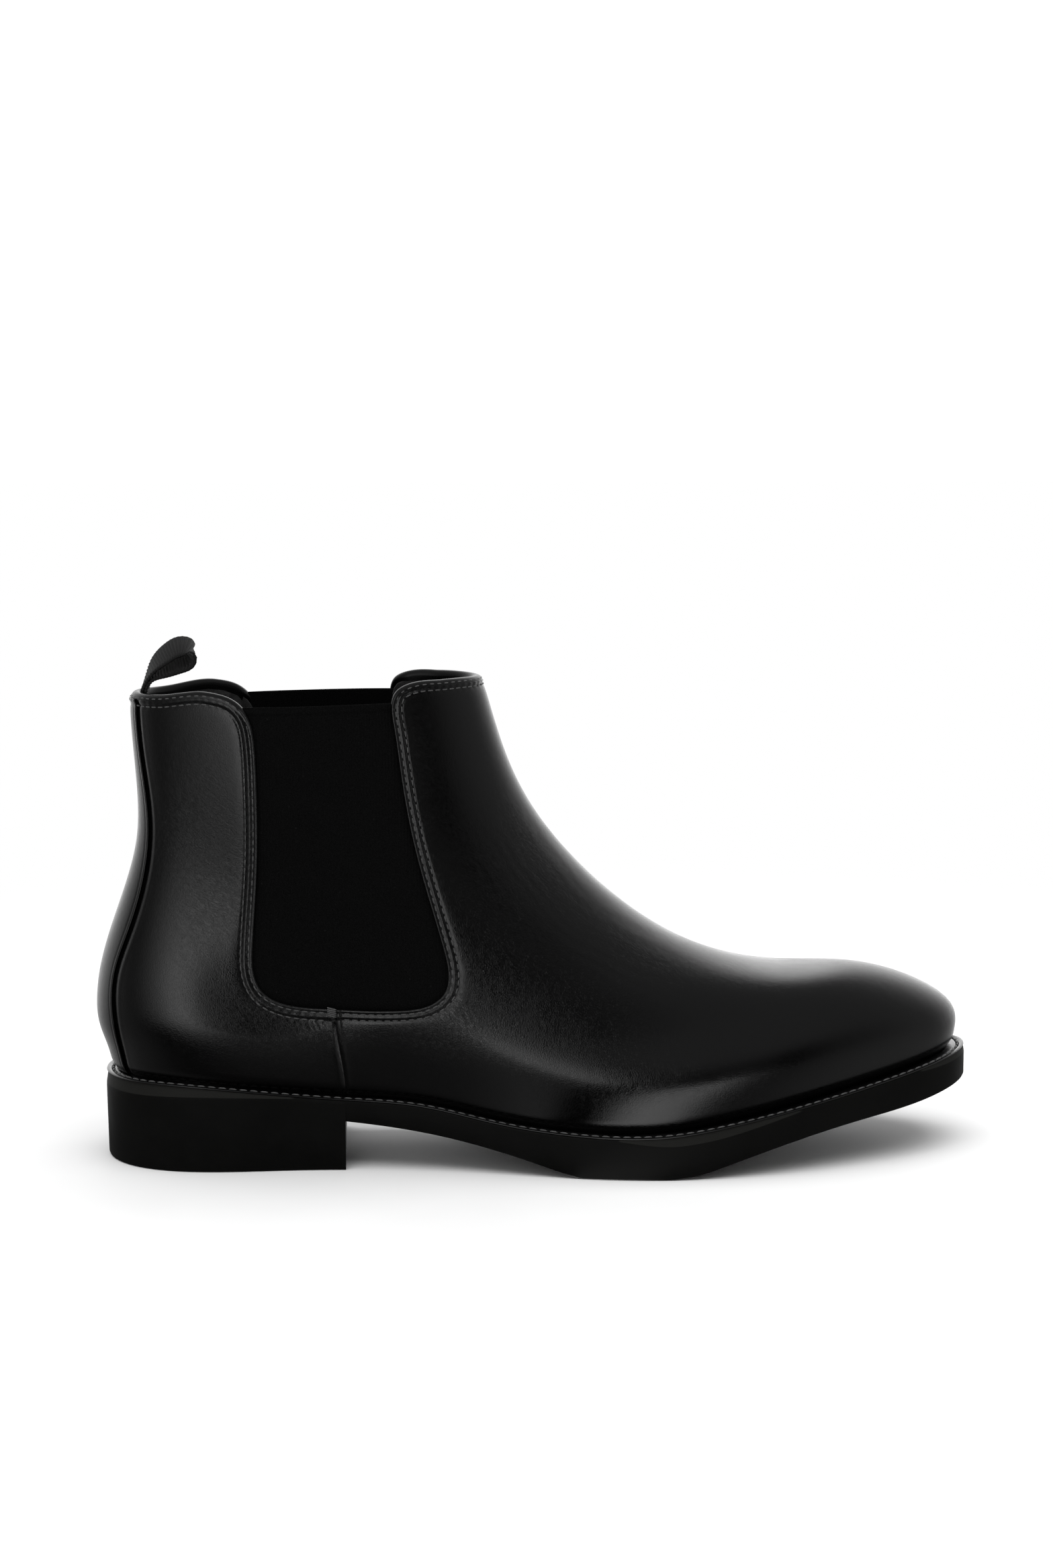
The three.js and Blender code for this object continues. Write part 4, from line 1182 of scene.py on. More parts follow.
# ---- the bottom
@dataclass
class Bottom(SubAssembly):
    """Everything under the foot: moulded sole, welt with its stitching, footbed and heel pad."""

    welt_thickness: float = 3.0
    heel_taper: float = 0.5
    lip_drop: float = 0.62
    welt_row: float = 2.45
    welt_pitch: float = 3.6
    insole_inset: float = 9.9
    insole_levels: tuple[float, float] = (4.9, 7.9)
    insole_crown: float = 0.5

    def bevel(self, x: Array) -> Array:
        """Height of the sloping band at the top of the sole's wall: on the heel, the forepart and the toe."""
        heel = 4.3 * (1 - smooth_step(x, 8, 84))
        ball = 3.3 * smooth_step(x, 168, 200) * (1 - smooth_step(x, 206, 252))
        return np.maximum(heel + ball + 2.2 * smooth_step(x, 276, 302), 0.12)

    def tread_relief(self, x: Array, y: Array, edge: Array) -> Array:
        """Depth of the tread's grooves: chevron bars on the heel and the forepart, inside a plain rim."""
        middle = TOE_SHIFT * (x / SOLE_LENGTH) ** 2
        bar = np.mod(x + 0.35 * np.abs(y - middle), 8.5)
        groove = 1.0 - smooth_step(np.abs(bar - 4.25), 0.7, 1.3)
        zone = smooth_step(x, 10, 12) * (1 - smooth_step(x, 72, 74))
        zone = zone + smooth_step(x, 168, 171) * (1 - smooth_step(x, 268, 272))
        return 1.1 * groove * zone * smooth_step(edge, 6.0, 7.2)

    def unit_sole(self) -> Body:
        """Sole lofted along its length.

        Each station is a ring: down the lateral wall with its sloping band and rounded foot, across the
        tread, up the medial wall and back across the top, where a lip stands up round the welt. The heel
        breast is two stations at one length.
        """
        breast = math.acos(2 * HEEL_BREAST_X / SOLE_LENGTH - 1)
        turn = np.concatenate([np.linspace(math.pi, breast, 130), np.linspace(breast, 0, 330)])
        on_heel = np.arange(len(turn)) < 130
        x = SOLE_LENGTH * (1 + np.cos(turn)) / 2
        top = FEATHER(x) - self.welt_thickness - LAYER_GAP
        foot = np.where(on_heel, 0.0, np.maximum(TREAD(x), 0.0))
        lip = FEATHER(x) - self.lip_drop
        band = np.minimum(self.bevel(x), lip - foot - 2.5)
        taper = self.heel_taper * (1 - smooth_step(x, 60, 110))
        share = np.array([0.05, 0.5, 1.0])
        slope = 0.14 * band
        level = np.zeros_like(x)
        levels = [(1.5 + level, top), (1.5 + level, lip - 0.1), (0.95 + slope, lip),
                  (0.3 + slope, lip - 0.05), (0.12 + slope, lip - 0.3),
                  (0.12 + slope * 0.08, lip - band * 0.92 - 0.02),
                  (0.1 + level, lip - band - 0.04)]
        wall_top = lip - band - 0.08
        levels += [(0.04 + taper * s, wall_top * (1 - s) + (foot + 0.9) * s) for s in share]
        levels += [(taper + 0.32, foot + 0.28), (taper + 0.95, foot)]
        lateral, medial = (np.stack([np.column_stack([SOLE.plan(side.value * turn, inset), height])
                                     for inset, height in levels], axis=1) for side in Side)
        low_l, low_m = lateral[:, -1], medial[:, -1]
        columns = np.linspace(0, 1, 58)[1:-1]
        across = low_l[:, None] * (1 - columns)[None, :, None] + low_m[:, None] * columns[None, :, None]
        width = np.linalg.norm(low_m - low_l, axis=1)[:, None]
        edge = np.minimum(columns, 1 - columns)[None] * width
        across[..., 2] += self.tread_relief(across[..., 0], across[..., 1], edge)
        high_l, high_m = lateral[:, 0], medial[:, 0]
        share = np.linspace(0, 1, 6)[1:-1]
        over = high_m[:, None] * (1 - share)[None, :, None] + high_l[:, None] * share[None, :, None]
        ring = np.concatenate([lateral, across, medial[:, ::-1], over], axis=1)
        count, columns = ring.shape[:2]
        # painted highlight: the columns of the sloping band at the wall's top are marked as band, where the
        # rubber is painted lighter to stand in for the light that the up-facing bevel catches
        painted_highlight_columns = np.zeros(columns)
        painted_highlight_columns[2:6] = painted_highlight_columns[[-i - 5 for i in range(2, 6)]] = 1.0
        painted_highlight_mask = np.tile(painted_highlight_columns, (count, 1)) * smooth_step(band, 0.3, 0.9)[:, None]
        return Body(ring.reshape(-1, 3), grid_quads(count, columns, False, True),
                    {"band": painted_highlight_mask.ravel()}).welded().outward()

    def welt_ring(self) -> Body:
        """Welt carried round the outline: rounded outer edge, sunk stitch groove and flat seat."""
        profile = np.array([(2.2, -3.0), (1.8, -2.85), (1.7, -2.5), (1.7, -1.3), (1.6, -0.72), (0.5, -0.6),
                            (0.22, -0.42), (0.3, -0.2), (0.6, -0.04), (1.0, 0.02), (1.5, -0.02), (1.85, -0.2),
                            (2.15, -0.5), (2.45, -0.58),
                            (2.75, -0.5), (3.05, -0.2), (3.4, 0.0), (4.1, 0.1), (5.2, 0.1), (6.6, 0.05),
                            (9.0, 0.0), (11.8, 0.0), (12.0, -0.2), (12.0, -2.8), (11.8, -3.0)])
        angle = SOLE.even_angles(900)
        run = np.arange(900) * SOLE.run[-1] / 900
        plan = SOLE.plan(angle[:, None], profile[None, :, 0])
        height = FEATHER(plan[..., 0]) + profile[None, :, 1]
        stitch = bell(profile[:, 0] - self.welt_row, 0.5)
        height += 0.14 * np.cos(2 * math.pi * run / self.stitch_pitch)[:, None] * stitch[None]
        ring = np.concatenate([plan, height[..., None]], axis=-1)
        return Body(ring.reshape(-1, 3), grid_quads(900, len(profile), True, True)).outward()

    @property
    def stitch_pitch(self) -> float:
        """Pitch that fits a whole number of stitches round the welt."""
        return SOLE.run[-1] / round(SOLE.run[-1] / self.welt_pitch)

    def welt_stitches(self) -> Body:
        """Welt stitches lying in their groove."""
        angle = SOLE.even_angles(1200)
        angle = np.append(angle, 2 * math.pi)
        plan = SOLE.plan(angle, np.full(len(angle), self.welt_row))
        points = np.column_stack([plan, FEATHER(plan[:, 0]) - 0.32])
        normals = np.tile([0.0, 0.0, 1.0], (len(points), 1))
        return Thread(self.stitch_pitch, 2.9, 0.4, 0.1).along(points, normals)

    def insole(self) -> Body:
        """Footbed: the outline pulled in, with rounded edges and a top that dips to the middle.

        Points run from the middle line out to the edge, where the section turns round from top to bottom.
        """
        edge = SOLE.plan(SOLE.even_angles(260), np.full(260, self.insole_inset))
        spine_x = np.clip(edge[:, 0], 40, 262)
        spine = np.column_stack([spine_x, np.interp(spine_x, (0, 90, 305), (0, 1.5, TOE_SHIFT))])
        low, high = self.insole_levels
        radius = (high - low) / 2
        round_edge = radius / np.linalg.norm(edge - spine, axis=1)
        turn, share = np.linspace(0, math.pi, 9), np.linspace(0, 1, 12)[:-1]
        out = [*(s * (1 - round_edge) for s in share),
               *(1 - round_edge + round_edge * math.sin(t) for t in turn),
               *(s * (1 - round_edge) for s in share[::-1])]
        level = [*(high + self.insole_crown * (share**2 - 1)), *((high + low) / 2 + radius * np.cos(turn)),
                 *np.full(len(share), low)]
        plan = spine[:, None] + (edge - spine)[:, None] * np.stack(out, axis=1)[..., None]
        ring = np.concatenate([plan, (FEATHER(plan[..., 0]) + np.array(level))[..., None]], axis=-1)
        quads = grid_quads(260, ring.shape[1], True, False)
        return Body(ring.reshape(-1, 3), quads).welded(1e-3).outward()

    def heel_pad(self) -> Body:
        """Oval pad on the footbed: rings out to a rounded edge."""
        low, high = ((np.array(corner) - self.place.origin) * 1000 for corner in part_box("heel_pad"))
        centre, half = (low + high) / 2, (high - low) / 2
        turn = np.arange(120) * 2 * math.pi / 120
        share = np.concatenate([np.linspace(0, 0.97, 12), [0.985, 0.997, 1, 0.997, 0.985], [0.9, 0.5, 0]])
        level = np.concatenate([np.full(11, 1.0), [0.97, 0.85, 0.65, 0.5, 0.35, 0.15], [0, 0, 0]])
        circle = np.stack([np.cos(turn), np.sin(turn)], axis=1)[:, None]
        plan = centre[:2] + circle * half[:2] * share[None, :, None]
        height = FEATHER(plan[..., 0]) + self.insole_levels[1] + LAYER_GAP + level[None]
        ring = np.concatenate([plan, height[..., None]], axis=-1)
        return Body(ring.reshape(-1, 3), grid_quads(120, ring.shape[1], True, False)).welded().outward()

    def build(self) -> None:
        """Makes and dresses the pieces of the bottom."""
        # the rubber's band strength of 7 paints the sloping band at the wall's top far lighter: a painted
        # highlight standing in for the light that band catches
        rubber = PlainFinish("sole rubber", (0.0034, 0.0034, 0.0032), (0.0046, 0.0046, 0.0043), 0.5, bump=0.3,
                             dust=1.0, band=7.0, gloss=Gloss(specular=0.06)).material()
        welt = PlainFinish("welt leather", (0.001,) * 3, (0.003,) * 3, 0.2, grain_scale=900, bump=0.6,
                           bump_distance=0.00012, gloss=Gloss(specular=0.5, coat=0.3)).material()
        thread = WovenFinish("welt thread", (0.06,) * 3, (0.2,) * 3, 0.42, ribs=2.0, threads=3.0,
                             bump_distance=0.00006, gloss=Gloss(specular=0.6)).material()
        foam = WovenFinish("footbed cloth", (0.012, 0.012, 0.013), (0.02,) * 3, 0.9, ribs=0.9,
                           threads=1.6).material()
        pad = LeatherFinish("heel pad leather", (0.012,) * 3, roughness=0.5).material()
        self.piece("sole", self.unit_sole(), rubber, "sole_rubber", "unit_sole", sharp=38)
        self.piece("storm_welt", self.welt_ring(), welt, "welt_leather", "welt")
        self.piece("welt_stitching", self.welt_stitches(), thread, "welt_leather")
        bed = self.piece("insole", self.insole(), foam, "lining", "footbed")
        oval = self.piece("heel_sock", self.heel_pad(), pad, "lining", "heel_pad")


# ---- the upper
@dataclass
class SideLines:
    """Seams and edges of one side of the upper, all on its outer surface."""

    side: Side
    corner_front: tuple[float, float] = (116.6, 61.2)
    corner_rear: tuple[float, float] = (57.6, 61.2)
    top_front: tuple[float, float] = (102.6, 164.8)
    top_rear: tuple[float, float] = (49.6, 160.0)
    split_front_x: float = 128.0
    split_rear_x: float = 47.0

    def __post_init__(self) -> None:
        """Draws the lines; both edges start at the side seam's top and end at the ridge and the back."""
        side = self.side
        self.seam = Line.drawn(side, SIDE_SEAM)
        self.seam = self.seam.between(self.seam.nearest_run(84, float(FEATHER(84.0))) + 0.3, self.seam.length)
        corner = Line.drawn(side, [*GORE_EDGE_FRONT, *FRONT_CORNER[1:]], 0.6)
        self.front = corner.then(collar_line(side, corner, FRONT_TOP, 0.0))
        corner = Line.drawn(side, [*GORE_EDGE_REAR, *REAR_CORNER[1:]], 0.6)
        self.rear = corner.then(collar_line(side, corner, REAR_TOP, math.pi))
        self.backstay = self._rear_line(BACKSTAY_EDGE)
        self.grip = self._rear_line(GRIP_EDGE)

    def _rear_line(self, corners: Sequence[Sequence[float]]) -> Line:
        """Upright line behind the gore, cut at the feather and at the collar."""
        line = Line.drawn(self.side, corners)
        collar = REAR_TOP(line.points[:, 0])
        inside = (line.points[:, 2] < collar) & (line.places[:, 1] > 0.004)
        places = line.places[inside]
        top = np.column_stack([places[-1:, 0], UPPER.row_on(np.abs(places[-1:, 0]), REAR_TOP)])
        return Line(np.vstack([[[places[0, 0], 0.0]], places, top]))

    def leatherwards(self, front: bool) -> int:
        """Sign of a move to the left that takes the front or the rear edge line into its leather."""
        return self.side.value if front else -self.side.value

    def setback(self, line: Line, corner: tuple[float, float], top: float, edge: float) -> Array:
        """How far the leather's skin stops inside an edge, growing from the gore's edge to the collar's."""
        at = line.nearest_run(*corner)
        return edge + (top - edge) * smooth_step(line.run, at - 7, at + 8)


@dataclass
class Upper(SubAssembly):
    """Leather panels, elastic gores, linings, collar rolls and their stitching."""

    roll_radius: float = 1.95
    edge_setback: float = 0.5

    def __post_init__(self) -> None:
        """Draws both sides' lines and the traces that the reliefs are measured from."""
        self.sides = {side: SideLines(side) for side in Side}
        lateral, medial = self.sides[Side.LATERAL], self.sides[Side.MEDIAL]
        self.front_edge = lateral.front.then(medial.front.back())
        self.rear_edge = medial.rear.then(Line(lateral.rear.places + [[2 * math.pi, 0.0]]).back())
        self.front_trace = Trace(self.front_edge.points)
        self.rear_traces = {side: Trace(lines.rear.points) for side, lines in self.sides.items()}
        self.seam_traces = {side: Trace(lines.seam.points) for side, lines in self.sides.items()}
        self.backstay_traces = {side: Trace(lines.backstay.points) for side, lines in self.sides.items()}

    # -- reliefs and marks
    def wrinkles(self) -> list[Relief]:
        """Creases where the leather is pulled over the form."""
        down = math.radians(-35)
        return [Wrinkles(*values) for values in (
            ((36, 104), (15, 26), down, 2.6, 0.022, 0.7), ((120, 52), (9, 8), -1.2, 1.9, 0.08, 1.9),
            ((56, 53), (10, 7), down, 1.8, 0.08, 0.2), ((76, 51), (5, 8), -1.25, 1.6, 0.09, 2.6),
            ((146, 98), (20, 26), math.radians(-52), 3.2, 0.03, 1.1),
            ((178, 72), (26, 16), math.radians(-28), 3.4, 0.03, 2.2))]

    def crease_mark(self, points: Array) -> Array:
        """Where fine creases show in the grain: bells round the places that the boot bends or is pulled."""
        spots = [(36, 110, 16, 30, 0.9), (119, 53, 13, 12, 1.0), (56, 54, 13, 9, 0.9), (75, 51, 8, 8, 1.0),
                 (142, 100, 22, 30, 0.6), (178, 68, 30, 16, 0.35), (108, 110, 6, 45, 0.5)]
        value = np.full(len(points), 0.12)
        for x, z, wide, tall, strength in spots:
            value += strength * bell(points[:, 0] - x, wide) * bell(points[:, 2] - z, tall)
        return np.clip(value, 0, 1)

    def edges(self) -> dict[str, StitchedEdge]:
        """Reliefs of the stitched edges."""
        return {"front": StitchedEdge(self.front_trace, rows=(1.45, 3.6)),
                **{side.label: StitchedEdge(trace, rows=(1.45, 4.2))
                   for side, trace in self.rear_traces.items()}}

    # -- patches
    def column_and_wing(self, lines: SideLines, front: bool, setback: Array, counts: tuple[int, int, int],
                        fine: float) -> tuple[Array, Array, Line, float]:
        """Upright side of a panel at the gore, and the patch under the gore beside it.

        Args:
            lines: the side's lines.
            front: the vamp's part if true, the quarter's if not.
            setback: how far the skin stops inside the edge, at each point of the edge line.
            counts: cells of the split line, the gore's upright edge and the gore's bottom edge.
            fine: spacing near edges.

        Returns:
            The places up the split line and the gore's edge, the wing's patch from the seam to the split,
            the edge line moved in, and the run where the collar starts on it.
        """
        edge = lines.front if front else lines.rear
        moved = edge.moved(lines.leatherwards(front) * setback)
        corner = moved.nearest_run(*(lines.corner_front if front else lines.corner_rear))
        top = moved.nearest_run(*(lines.top_front if front else lines.top_rear))
        split_x = lines.split_front_x if front else lines.split_rear_x
        foot_turn, _ = UPPER.locate(np.array([split_x]), FEATHER(np.array([split_x])) + 0.01)
        foot = np.array([lines.side.value * foot_turn[0], 0.0])
        split = Line.straight(foot, moved.at(np.array([corner]))[0])
        upright = moved.between(corner, top)
        split_places = split.graded(counts[0], fine * 1.6, 4.0)
        side_places = np.vstack([split_places, upright.even(counts[1])[1:]])
        # the seam side starts a little inside the closed seam
        seam = lines.seam.moved(SEAM_INSET * lines.leatherwards(front))
        seam_places = np.vstack([seam.places[:-1], moved.places[:1]])
        seam_places[0, 1] = 0.0
        seam_places = Line(seam_places).graded(counts[0], fine * 1.6, 4.0)
        foot = feather_line(seam_places[0, 0], split_places[0, 0])
        wing = patch(foot.graded(counts[2], fine * 2, 3.0),
                     moved.between(0, corner).graded(counts[2], fine * 2, 3.0), seam_places, split_places)
        return side_places, wing, moved, top

    def vamp_patches(self, fine: float, counts: tuple[int, int, int], across: int,
                     setbacks: tuple[float, float], roll: float) -> Patches:
        """Patches of the front panel: the forepart up to the collar, and a wing under each gore."""
        halves = {}
        for side, lines in self.sides.items():
            setback = lines.setback(lines.front, lines.top_front, setbacks[1], setbacks[0])
            halves[side] = self.column_and_wing(lines, True, setback, counts, fine)
        left, wing_left, edge_left, top_left = halves[Side.LATERAL]
        right, wing_right, edge_right, top_right = halves[Side.MEDIAL]
        collar = edge_left.between(top_left, edge_left.length).then(
            edge_right.between(top_right, edge_right.length).back())
        bottom = feather_line(left[0, 0], right[0, 0]).graded(across, fine * 3, roll * 2)
        return [(patch(bottom, collar.graded(across, fine, roll), left, right), False),
                (wing_left, False), (wing_right, True)]

    def quarter_patches(self, side: Side, start: Line, fine: float, counts: tuple[int, int, int], across: int,
                        setbacks: tuple[float, float]) -> Patches:
        """Patches of a rear panel: from an upright line behind to the gore, and a wing under the gore."""
        lines = self.sides[side]
        setback = lines.setback(lines.rear, lines.top_rear, setbacks[1], setbacks[0])
        upright, wing, edge, top_run = self.column_and_wing(lines, False, setback, counts, fine)
        start_side, meets = start.up_to(edge)
        collar = edge.between(top_run, float(edge.run[meets])).back()
        left = start_side.graded(len(upright), fine * 2, 4.0)
        bottom = feather_line(left[0, 0], upright[0, 0]).graded(across, fine * 1.5, 7.0)
        turned = side is Side.MEDIAL
        return [(patch(bottom, collar.graded(across, fine, 7.0), left, upright), turned), (wing, not turned)]

    def rear_strip(self, edge_name: str, grow: float, setback: float, across: int, up: int,
                   fine: float) -> Patches:
        """Patch round the back between the same upright line on both sides."""
        sides = []
        for side in (Side.MEDIAL, Side.LATERAL):
            lines = self.sides[side]
            line = getattr(lines, edge_name).moved(lines.leatherwards(True) * grow)
            collar = lines.rear.moved(lines.leatherwards(False) * setback)
            upright, meets = line.up_to(collar)
            upright.places[0, 1] = 0.0
            sides.append((Line(upright.places), Line(collar.places[meets:])))
        (left, left_top), (right, right_top) = sides
        unwrap = np.array([[2 * math.pi, 0.0]])
        right, right_top = Line(right.places + unwrap), Line(right_top.places + unwrap)
        top = left_top.then(right_top.back())
        foot = feather_line(left.places[0, 0], right.places[0, 0])
        return [(patch(foot.graded(across, fine, 3.0), top.graded(across, fine, 3.0),
                       left.graded(up, fine * 3, 4.0), right.graded(up, fine * 3, 4.0)), True)]

    def gore_patch(self, side: Side, across: int, up: int) -> Patches:
        """Patch of an elastic gore, wider than its window so that its edges are under the leather."""
        lines = self.sides[side]
        hidden = 4.5
        front = lines.front.moved(lines.leatherwards(True) * hidden)
        rear = lines.rear.moved(lines.leatherwards(False) * hidden)
        ends = []
        for line, corner in ((rear, (lines.corner_rear[0] - 4, lines.corner_rear[1] - 4)),
                             (front, (lines.corner_front[0] + 4, lines.corner_front[1] - 4))):
            low, high = line.nearest_run(*corner), int(np.argmax(line.points[:, 2] > 159.6))
            ends.append((line, low, float(line.run[high])))
        (rear, rear_low, rear_high), (front, front_low, front_high) = ends
        left, right = rear.between(rear_low, rear_high), front.between(front_low, front_high)
        bottom = rear.between(0, rear_low).back().then(front.between(0, front_low))
        top = Line.straight(left.places[-1], right.places[-1])
        top = Line(np.column_stack([top.places[:, 0], UPPER.row_on(np.abs(top.places[:, 0]), GORE_TOP)]))
        left = Line(np.vstack([left.places[:-1], top.places[0]]))
        right = Line(np.vstack([right.places[:-1], top.places[-1]]))
        share = left.spread(up, 0.5, 4.0) / left.length
        return [(patch(bottom.even(across), top.even(across), left.at(share * left.length),
                       right.at(share * right.length)), side is Side.MEDIAL)]

    @staticmethod
    def gore_relief(points: Array) -> Array:
        """Height of the elastic: sine ribs, a folded hem with a groove at the top, and a sag between."""
        from_top = GORE_TOP(points[:, 0]) - points[:, 2]
        rib = 0.09 * np.sin(2 * math.pi * (points[:, 0] + 0.07 * points[:, 2]) / 1.05)
        sag = 0.5 * np.sin(math.pi * np.clip((points[:, 0] - 52) / 58, 0, 1)) ** 2
        hem = 0.28 * (1 - smooth_step(from_top, 1.9, 2.5)) - 0.2 * bell(from_top - 2.4, 0.4)
        return rib * smooth_step(from_top, 2.2, 3.0) + hem - sag

    # -- rolls and stitches
    def collar_roll(self, line: Line, start: float, end: float) -> Body:
        """Rolled edge of the collar with its facing inside.

        The section is a half ring over the top of the layers that goes on down inside. Near both ends it
        shrinks to the leather's own thickness.

        Args:
            line: collar edge; the section stands on the same line moved down by the roll's radius.
            start: run where the roll starts.
            end: run where it ends.

        Returns:
            The closed roll.
        """
        edge = line.between(start, end)
        run = np.linspace(0, edge.length, int(edge.length / 0.9))
        full = smooth_step(np.minimum(run, edge.length - run), 1.0, 13.0)
        radius = 0.74 + (self.roll_radius - 0.74) * full
        facing = 0.6 + 5.6 * full
        wall, foot = 0.62, -0.55
        base = Line(edge.at(run)).moved(-radius)
        normal = UPPER.normal(base.places[:, 0], base.places[:, 1])
        up = unit(np.cross(normal, unit(np.gradient(base.points, axis=0))))
        turn = np.linspace(0, math.pi, 13)
        outer = [(0.0, foot), *((radius * (1 - math.cos(t)), radius * math.sin(t) * 1.02) for t in turn),
                 (2 * radius, -facing * 0.5), (2 * radius, -facing)]
        inner = [(2 * radius - wall, -facing), (2 * radius - wall, -facing * 0.5),
                 *((radius * (1 - math.cos(t)) * (1 - wall / radius) + wall, (radius - wall) * math.sin(t))
                   for t in turn[::-1][1:-1]), (wall, foot)]
        profile = np.stack([np.stack(np.broadcast_arrays(-p + 0 * radius, q), axis=-1)
                            for p, q in outer + inner], axis=1)
        return swept(base.points, normal, up, profile)

    def edge_stitches(self, line: Line, distances: Sequence[float], hand: int, thread: Thread, end: float,
                      start: float = 3.0) -> Body:
        """Rows of stitches beside an edge line, lying in the grooves of its relief.

        Args:
            line: the edge.
            distances: how far from it each row runs.
            hand: 1 for rows to the left of the line, -1 for rows to its right.
            thread: kind of stitch.
            end: how far before the line's end the rows stop.
            start: how far along the line they start.

        Returns:
            All the strands.
        """
        line = line.between(start, line.length - end)
        bodies = []
        for distance in distances:
            row = line.moved(hand * distance)
            normals = UPPER.normal(row.places[:, 0], row.places[:, 1])
            bodies.append(thread.along(row.points - normals * STITCH_DEPTH, normals))
        return reduce(Body.joined, bodies)

    def panels(self, leather: Material) -> None:
        """Vamp, quarters and backstay."""
        edges, wrinkles = self.edges(), self.wrinkles()
        seams = {side: SeamLip(trace, fade=(0, 26)) for side, trace in self.seam_traces.items()}
        setbacks = (self.edge_setback, self.roll_radius)
        marks = {"crease": self.crease_mark}
        body = layer_body(self.vamp_patches(0.36, (44, 120, 56), 210, setbacks, 7.0), Layer(),
                          [edges["front"], *seams.values(), *wrinkles], marks)
        self.piece("vamp_panel", body, leather, "upper_leather", "vamp")
        for side, lines in self.sides.items():
            start = lines.backstay.moved(lines.leatherwards(False) * SEAM_INSET)
            patches = self.quarter_patches(side, start, 0.36, (44, 118, 46), 90, setbacks)
            pressed = PressedBand(self.backstay_traces[side])
            body = layer_body(patches, Layer(), [edges[side.label], seams[side], pressed, *wrinkles], marks)
            self.piece(f"{side.label}_quarter_panel", body, leather, "upper_leather", f"{side.label}_quarter")
        strip = self.rear_strip("backstay", -0.2, self.roll_radius, 90, 150, 0.3)
        # the second row lies past the strip, so only the first shows
        rows = [StitchedEdge(trace, rows=(1.6, 40.0), roll=0.8, drop=0.3, groove=0.16, groove_width=0.3,
                             puff=0.0, pitch=2.2) for trace in self.backstay_traces.values()]
        body = layer_body(strip, Layer(-0.55, 2.45, 0.45), [*rows, edges["lateral"]], marks)
        self.piece("back_strip", body, leather, "upper_leather", "backstay")

    def rolls(self, leather: Material) -> None:
        """Rolled collar edges, front and rear."""
        lateral, medial = self.sides[Side.LATERAL], self.sides[Side.MEDIAL]
        for name, edge, first, last, gore in (
                ("front", self.front_edge, lateral.front, medial.front, (100.9, 158)),
                ("rear", self.rear_edge, medial.rear, lateral.rear, (53.6, 150))):
            body = self.collar_roll(edge, first.nearest_run(*gore), edge.length - last.nearest_run(*gore))
            self.piece(f"{name}_collar_roll", body, leather, "binding", f"{name}_collar_binding")

    def gores(self) -> None:
        """Elastic gores."""
        elastic = WovenFinish("gore elastic", (0.0012,) * 3, (0.011,) * 3, 0.8, ribs=0.95, threads=1.7,
                              bump=0.5, gloss=Gloss(specular=0.03)).material()
        for side in Side:
            body = layer_body(self.gore_patch(side, 190, 60), Layer(ELASTIC_DEPTH, ELASTIC_THICKNESS, 0.4, 0),
                              [self.gore_relief])
            piece = self.piece(f"{side.label}_elastic", body, elastic, "elastic", f"{side.label}_gore")

    def linings(self) -> None:
        """Linings inside the leather, open behind the gores."""
        cloth = WovenFinish("lining cloth", (0.011,) * 3, (0.022,) * 3, 0.8, ribs=1.4, threads=1.4,
                            bump_distance=0.00005, gloss=Gloss(specular=0.3, sheen=0.1)).material()
        grip = LeatherFinish("heel grip suede", (0.012,) * 3, roughness=0.75, bump=0.3).material()
        layer = Layer(LINING_DEPTH, LINING_THICKNESS, 0.3, 0)
        body = layer_body(self.vamp_patches(0.9, (22, 60, 26), 90, (2.0, 3.4), 5.0), layer)
        self.piece("vamp_lining_cloth", body, cloth, "lining", "vamp_lining")
        for side, lines in self.sides.items():
            start = lines.grip.moved(lines.leatherwards(False) * 0.2)
            body = layer_body(self.quarter_patches(side, start, 0.9, (22, 60, 24), 24, (2.0, 3.4)), layer)
            self.piece(f"{side.label}_lining_cloth", body, cloth, "lining", f"{side.label}_quarter_lining")
        body = layer_body(self.rear_strip("grip", -0.2, 3.4, 60, 60, 0.9), layer)
        self.piece("heel_grip_lining", body, grip, "lining", "heel_grip")

    def stitching(self) -> None:
        """Upper stitching as one piece: gore and collar rows, backstay rows and bar tacks."""
        thread = WovenFinish("upper thread", (0.045,) * 3, (0.12,) * 3, 0.45, ribs=2.2, threads=3.0,
                             bump_distance=0.00005, gloss=Gloss(specular=0.5)).material()
        edges = self.edges()
        fine, close = Thread(2.8, 2.0, 0.26, 0.08), Thread(2.2, 1.6, 0.2, 0.35)
        rows = [self.edge_stitches(self.front_edge, edges["front"].rows, -1, fine, 3.0),
                self.edge_stitches(self.rear_edge, edges["lateral"].rows, -1, fine, 3.0)]
        for lines in self.sides.values():
            rows.append(self.edge_stitches(lines.backstay, [1.6], lines.leatherwards(False), close, 5.0, 4.0))
            rows.append(self.bar_tack(lines))
        self.piece("upper_stitching", reduce(Body.joined, rows), thread, "upper_leather")

    def bar_tack(self, lines: SideLines) -> Body:
        """Five short stitches across the top of the side seam."""
        x = np.full(5, 79.6)
        z = 56.6 - np.arange(5) * 0.62
        turn, row = UPPER.locate(x, z)
        angle = lines.side.value * turn
        normal = UPPER.normal(angle, row)
        lean = np.array([1.0, 0.0, -0.25])
        along = unit(lean - normal * (normal @ lean)[:, None])
        return Thread(1, 3.4, 0.3, 0.15).strands(UPPER.point(angle, row), along, normal)

    def build(self) -> None:
        """Makes and dresses every piece of the upper."""
        leather = LeatherFinish("upper leather").material()
        roll = LeatherFinish("collar leather", roughness=0.3, pebble_scale=1700.0, bump=0.35).material()
        self.panels(leather)
        self.rolls(roll)
        self.gores()
        self.linings()
        self.stitching()


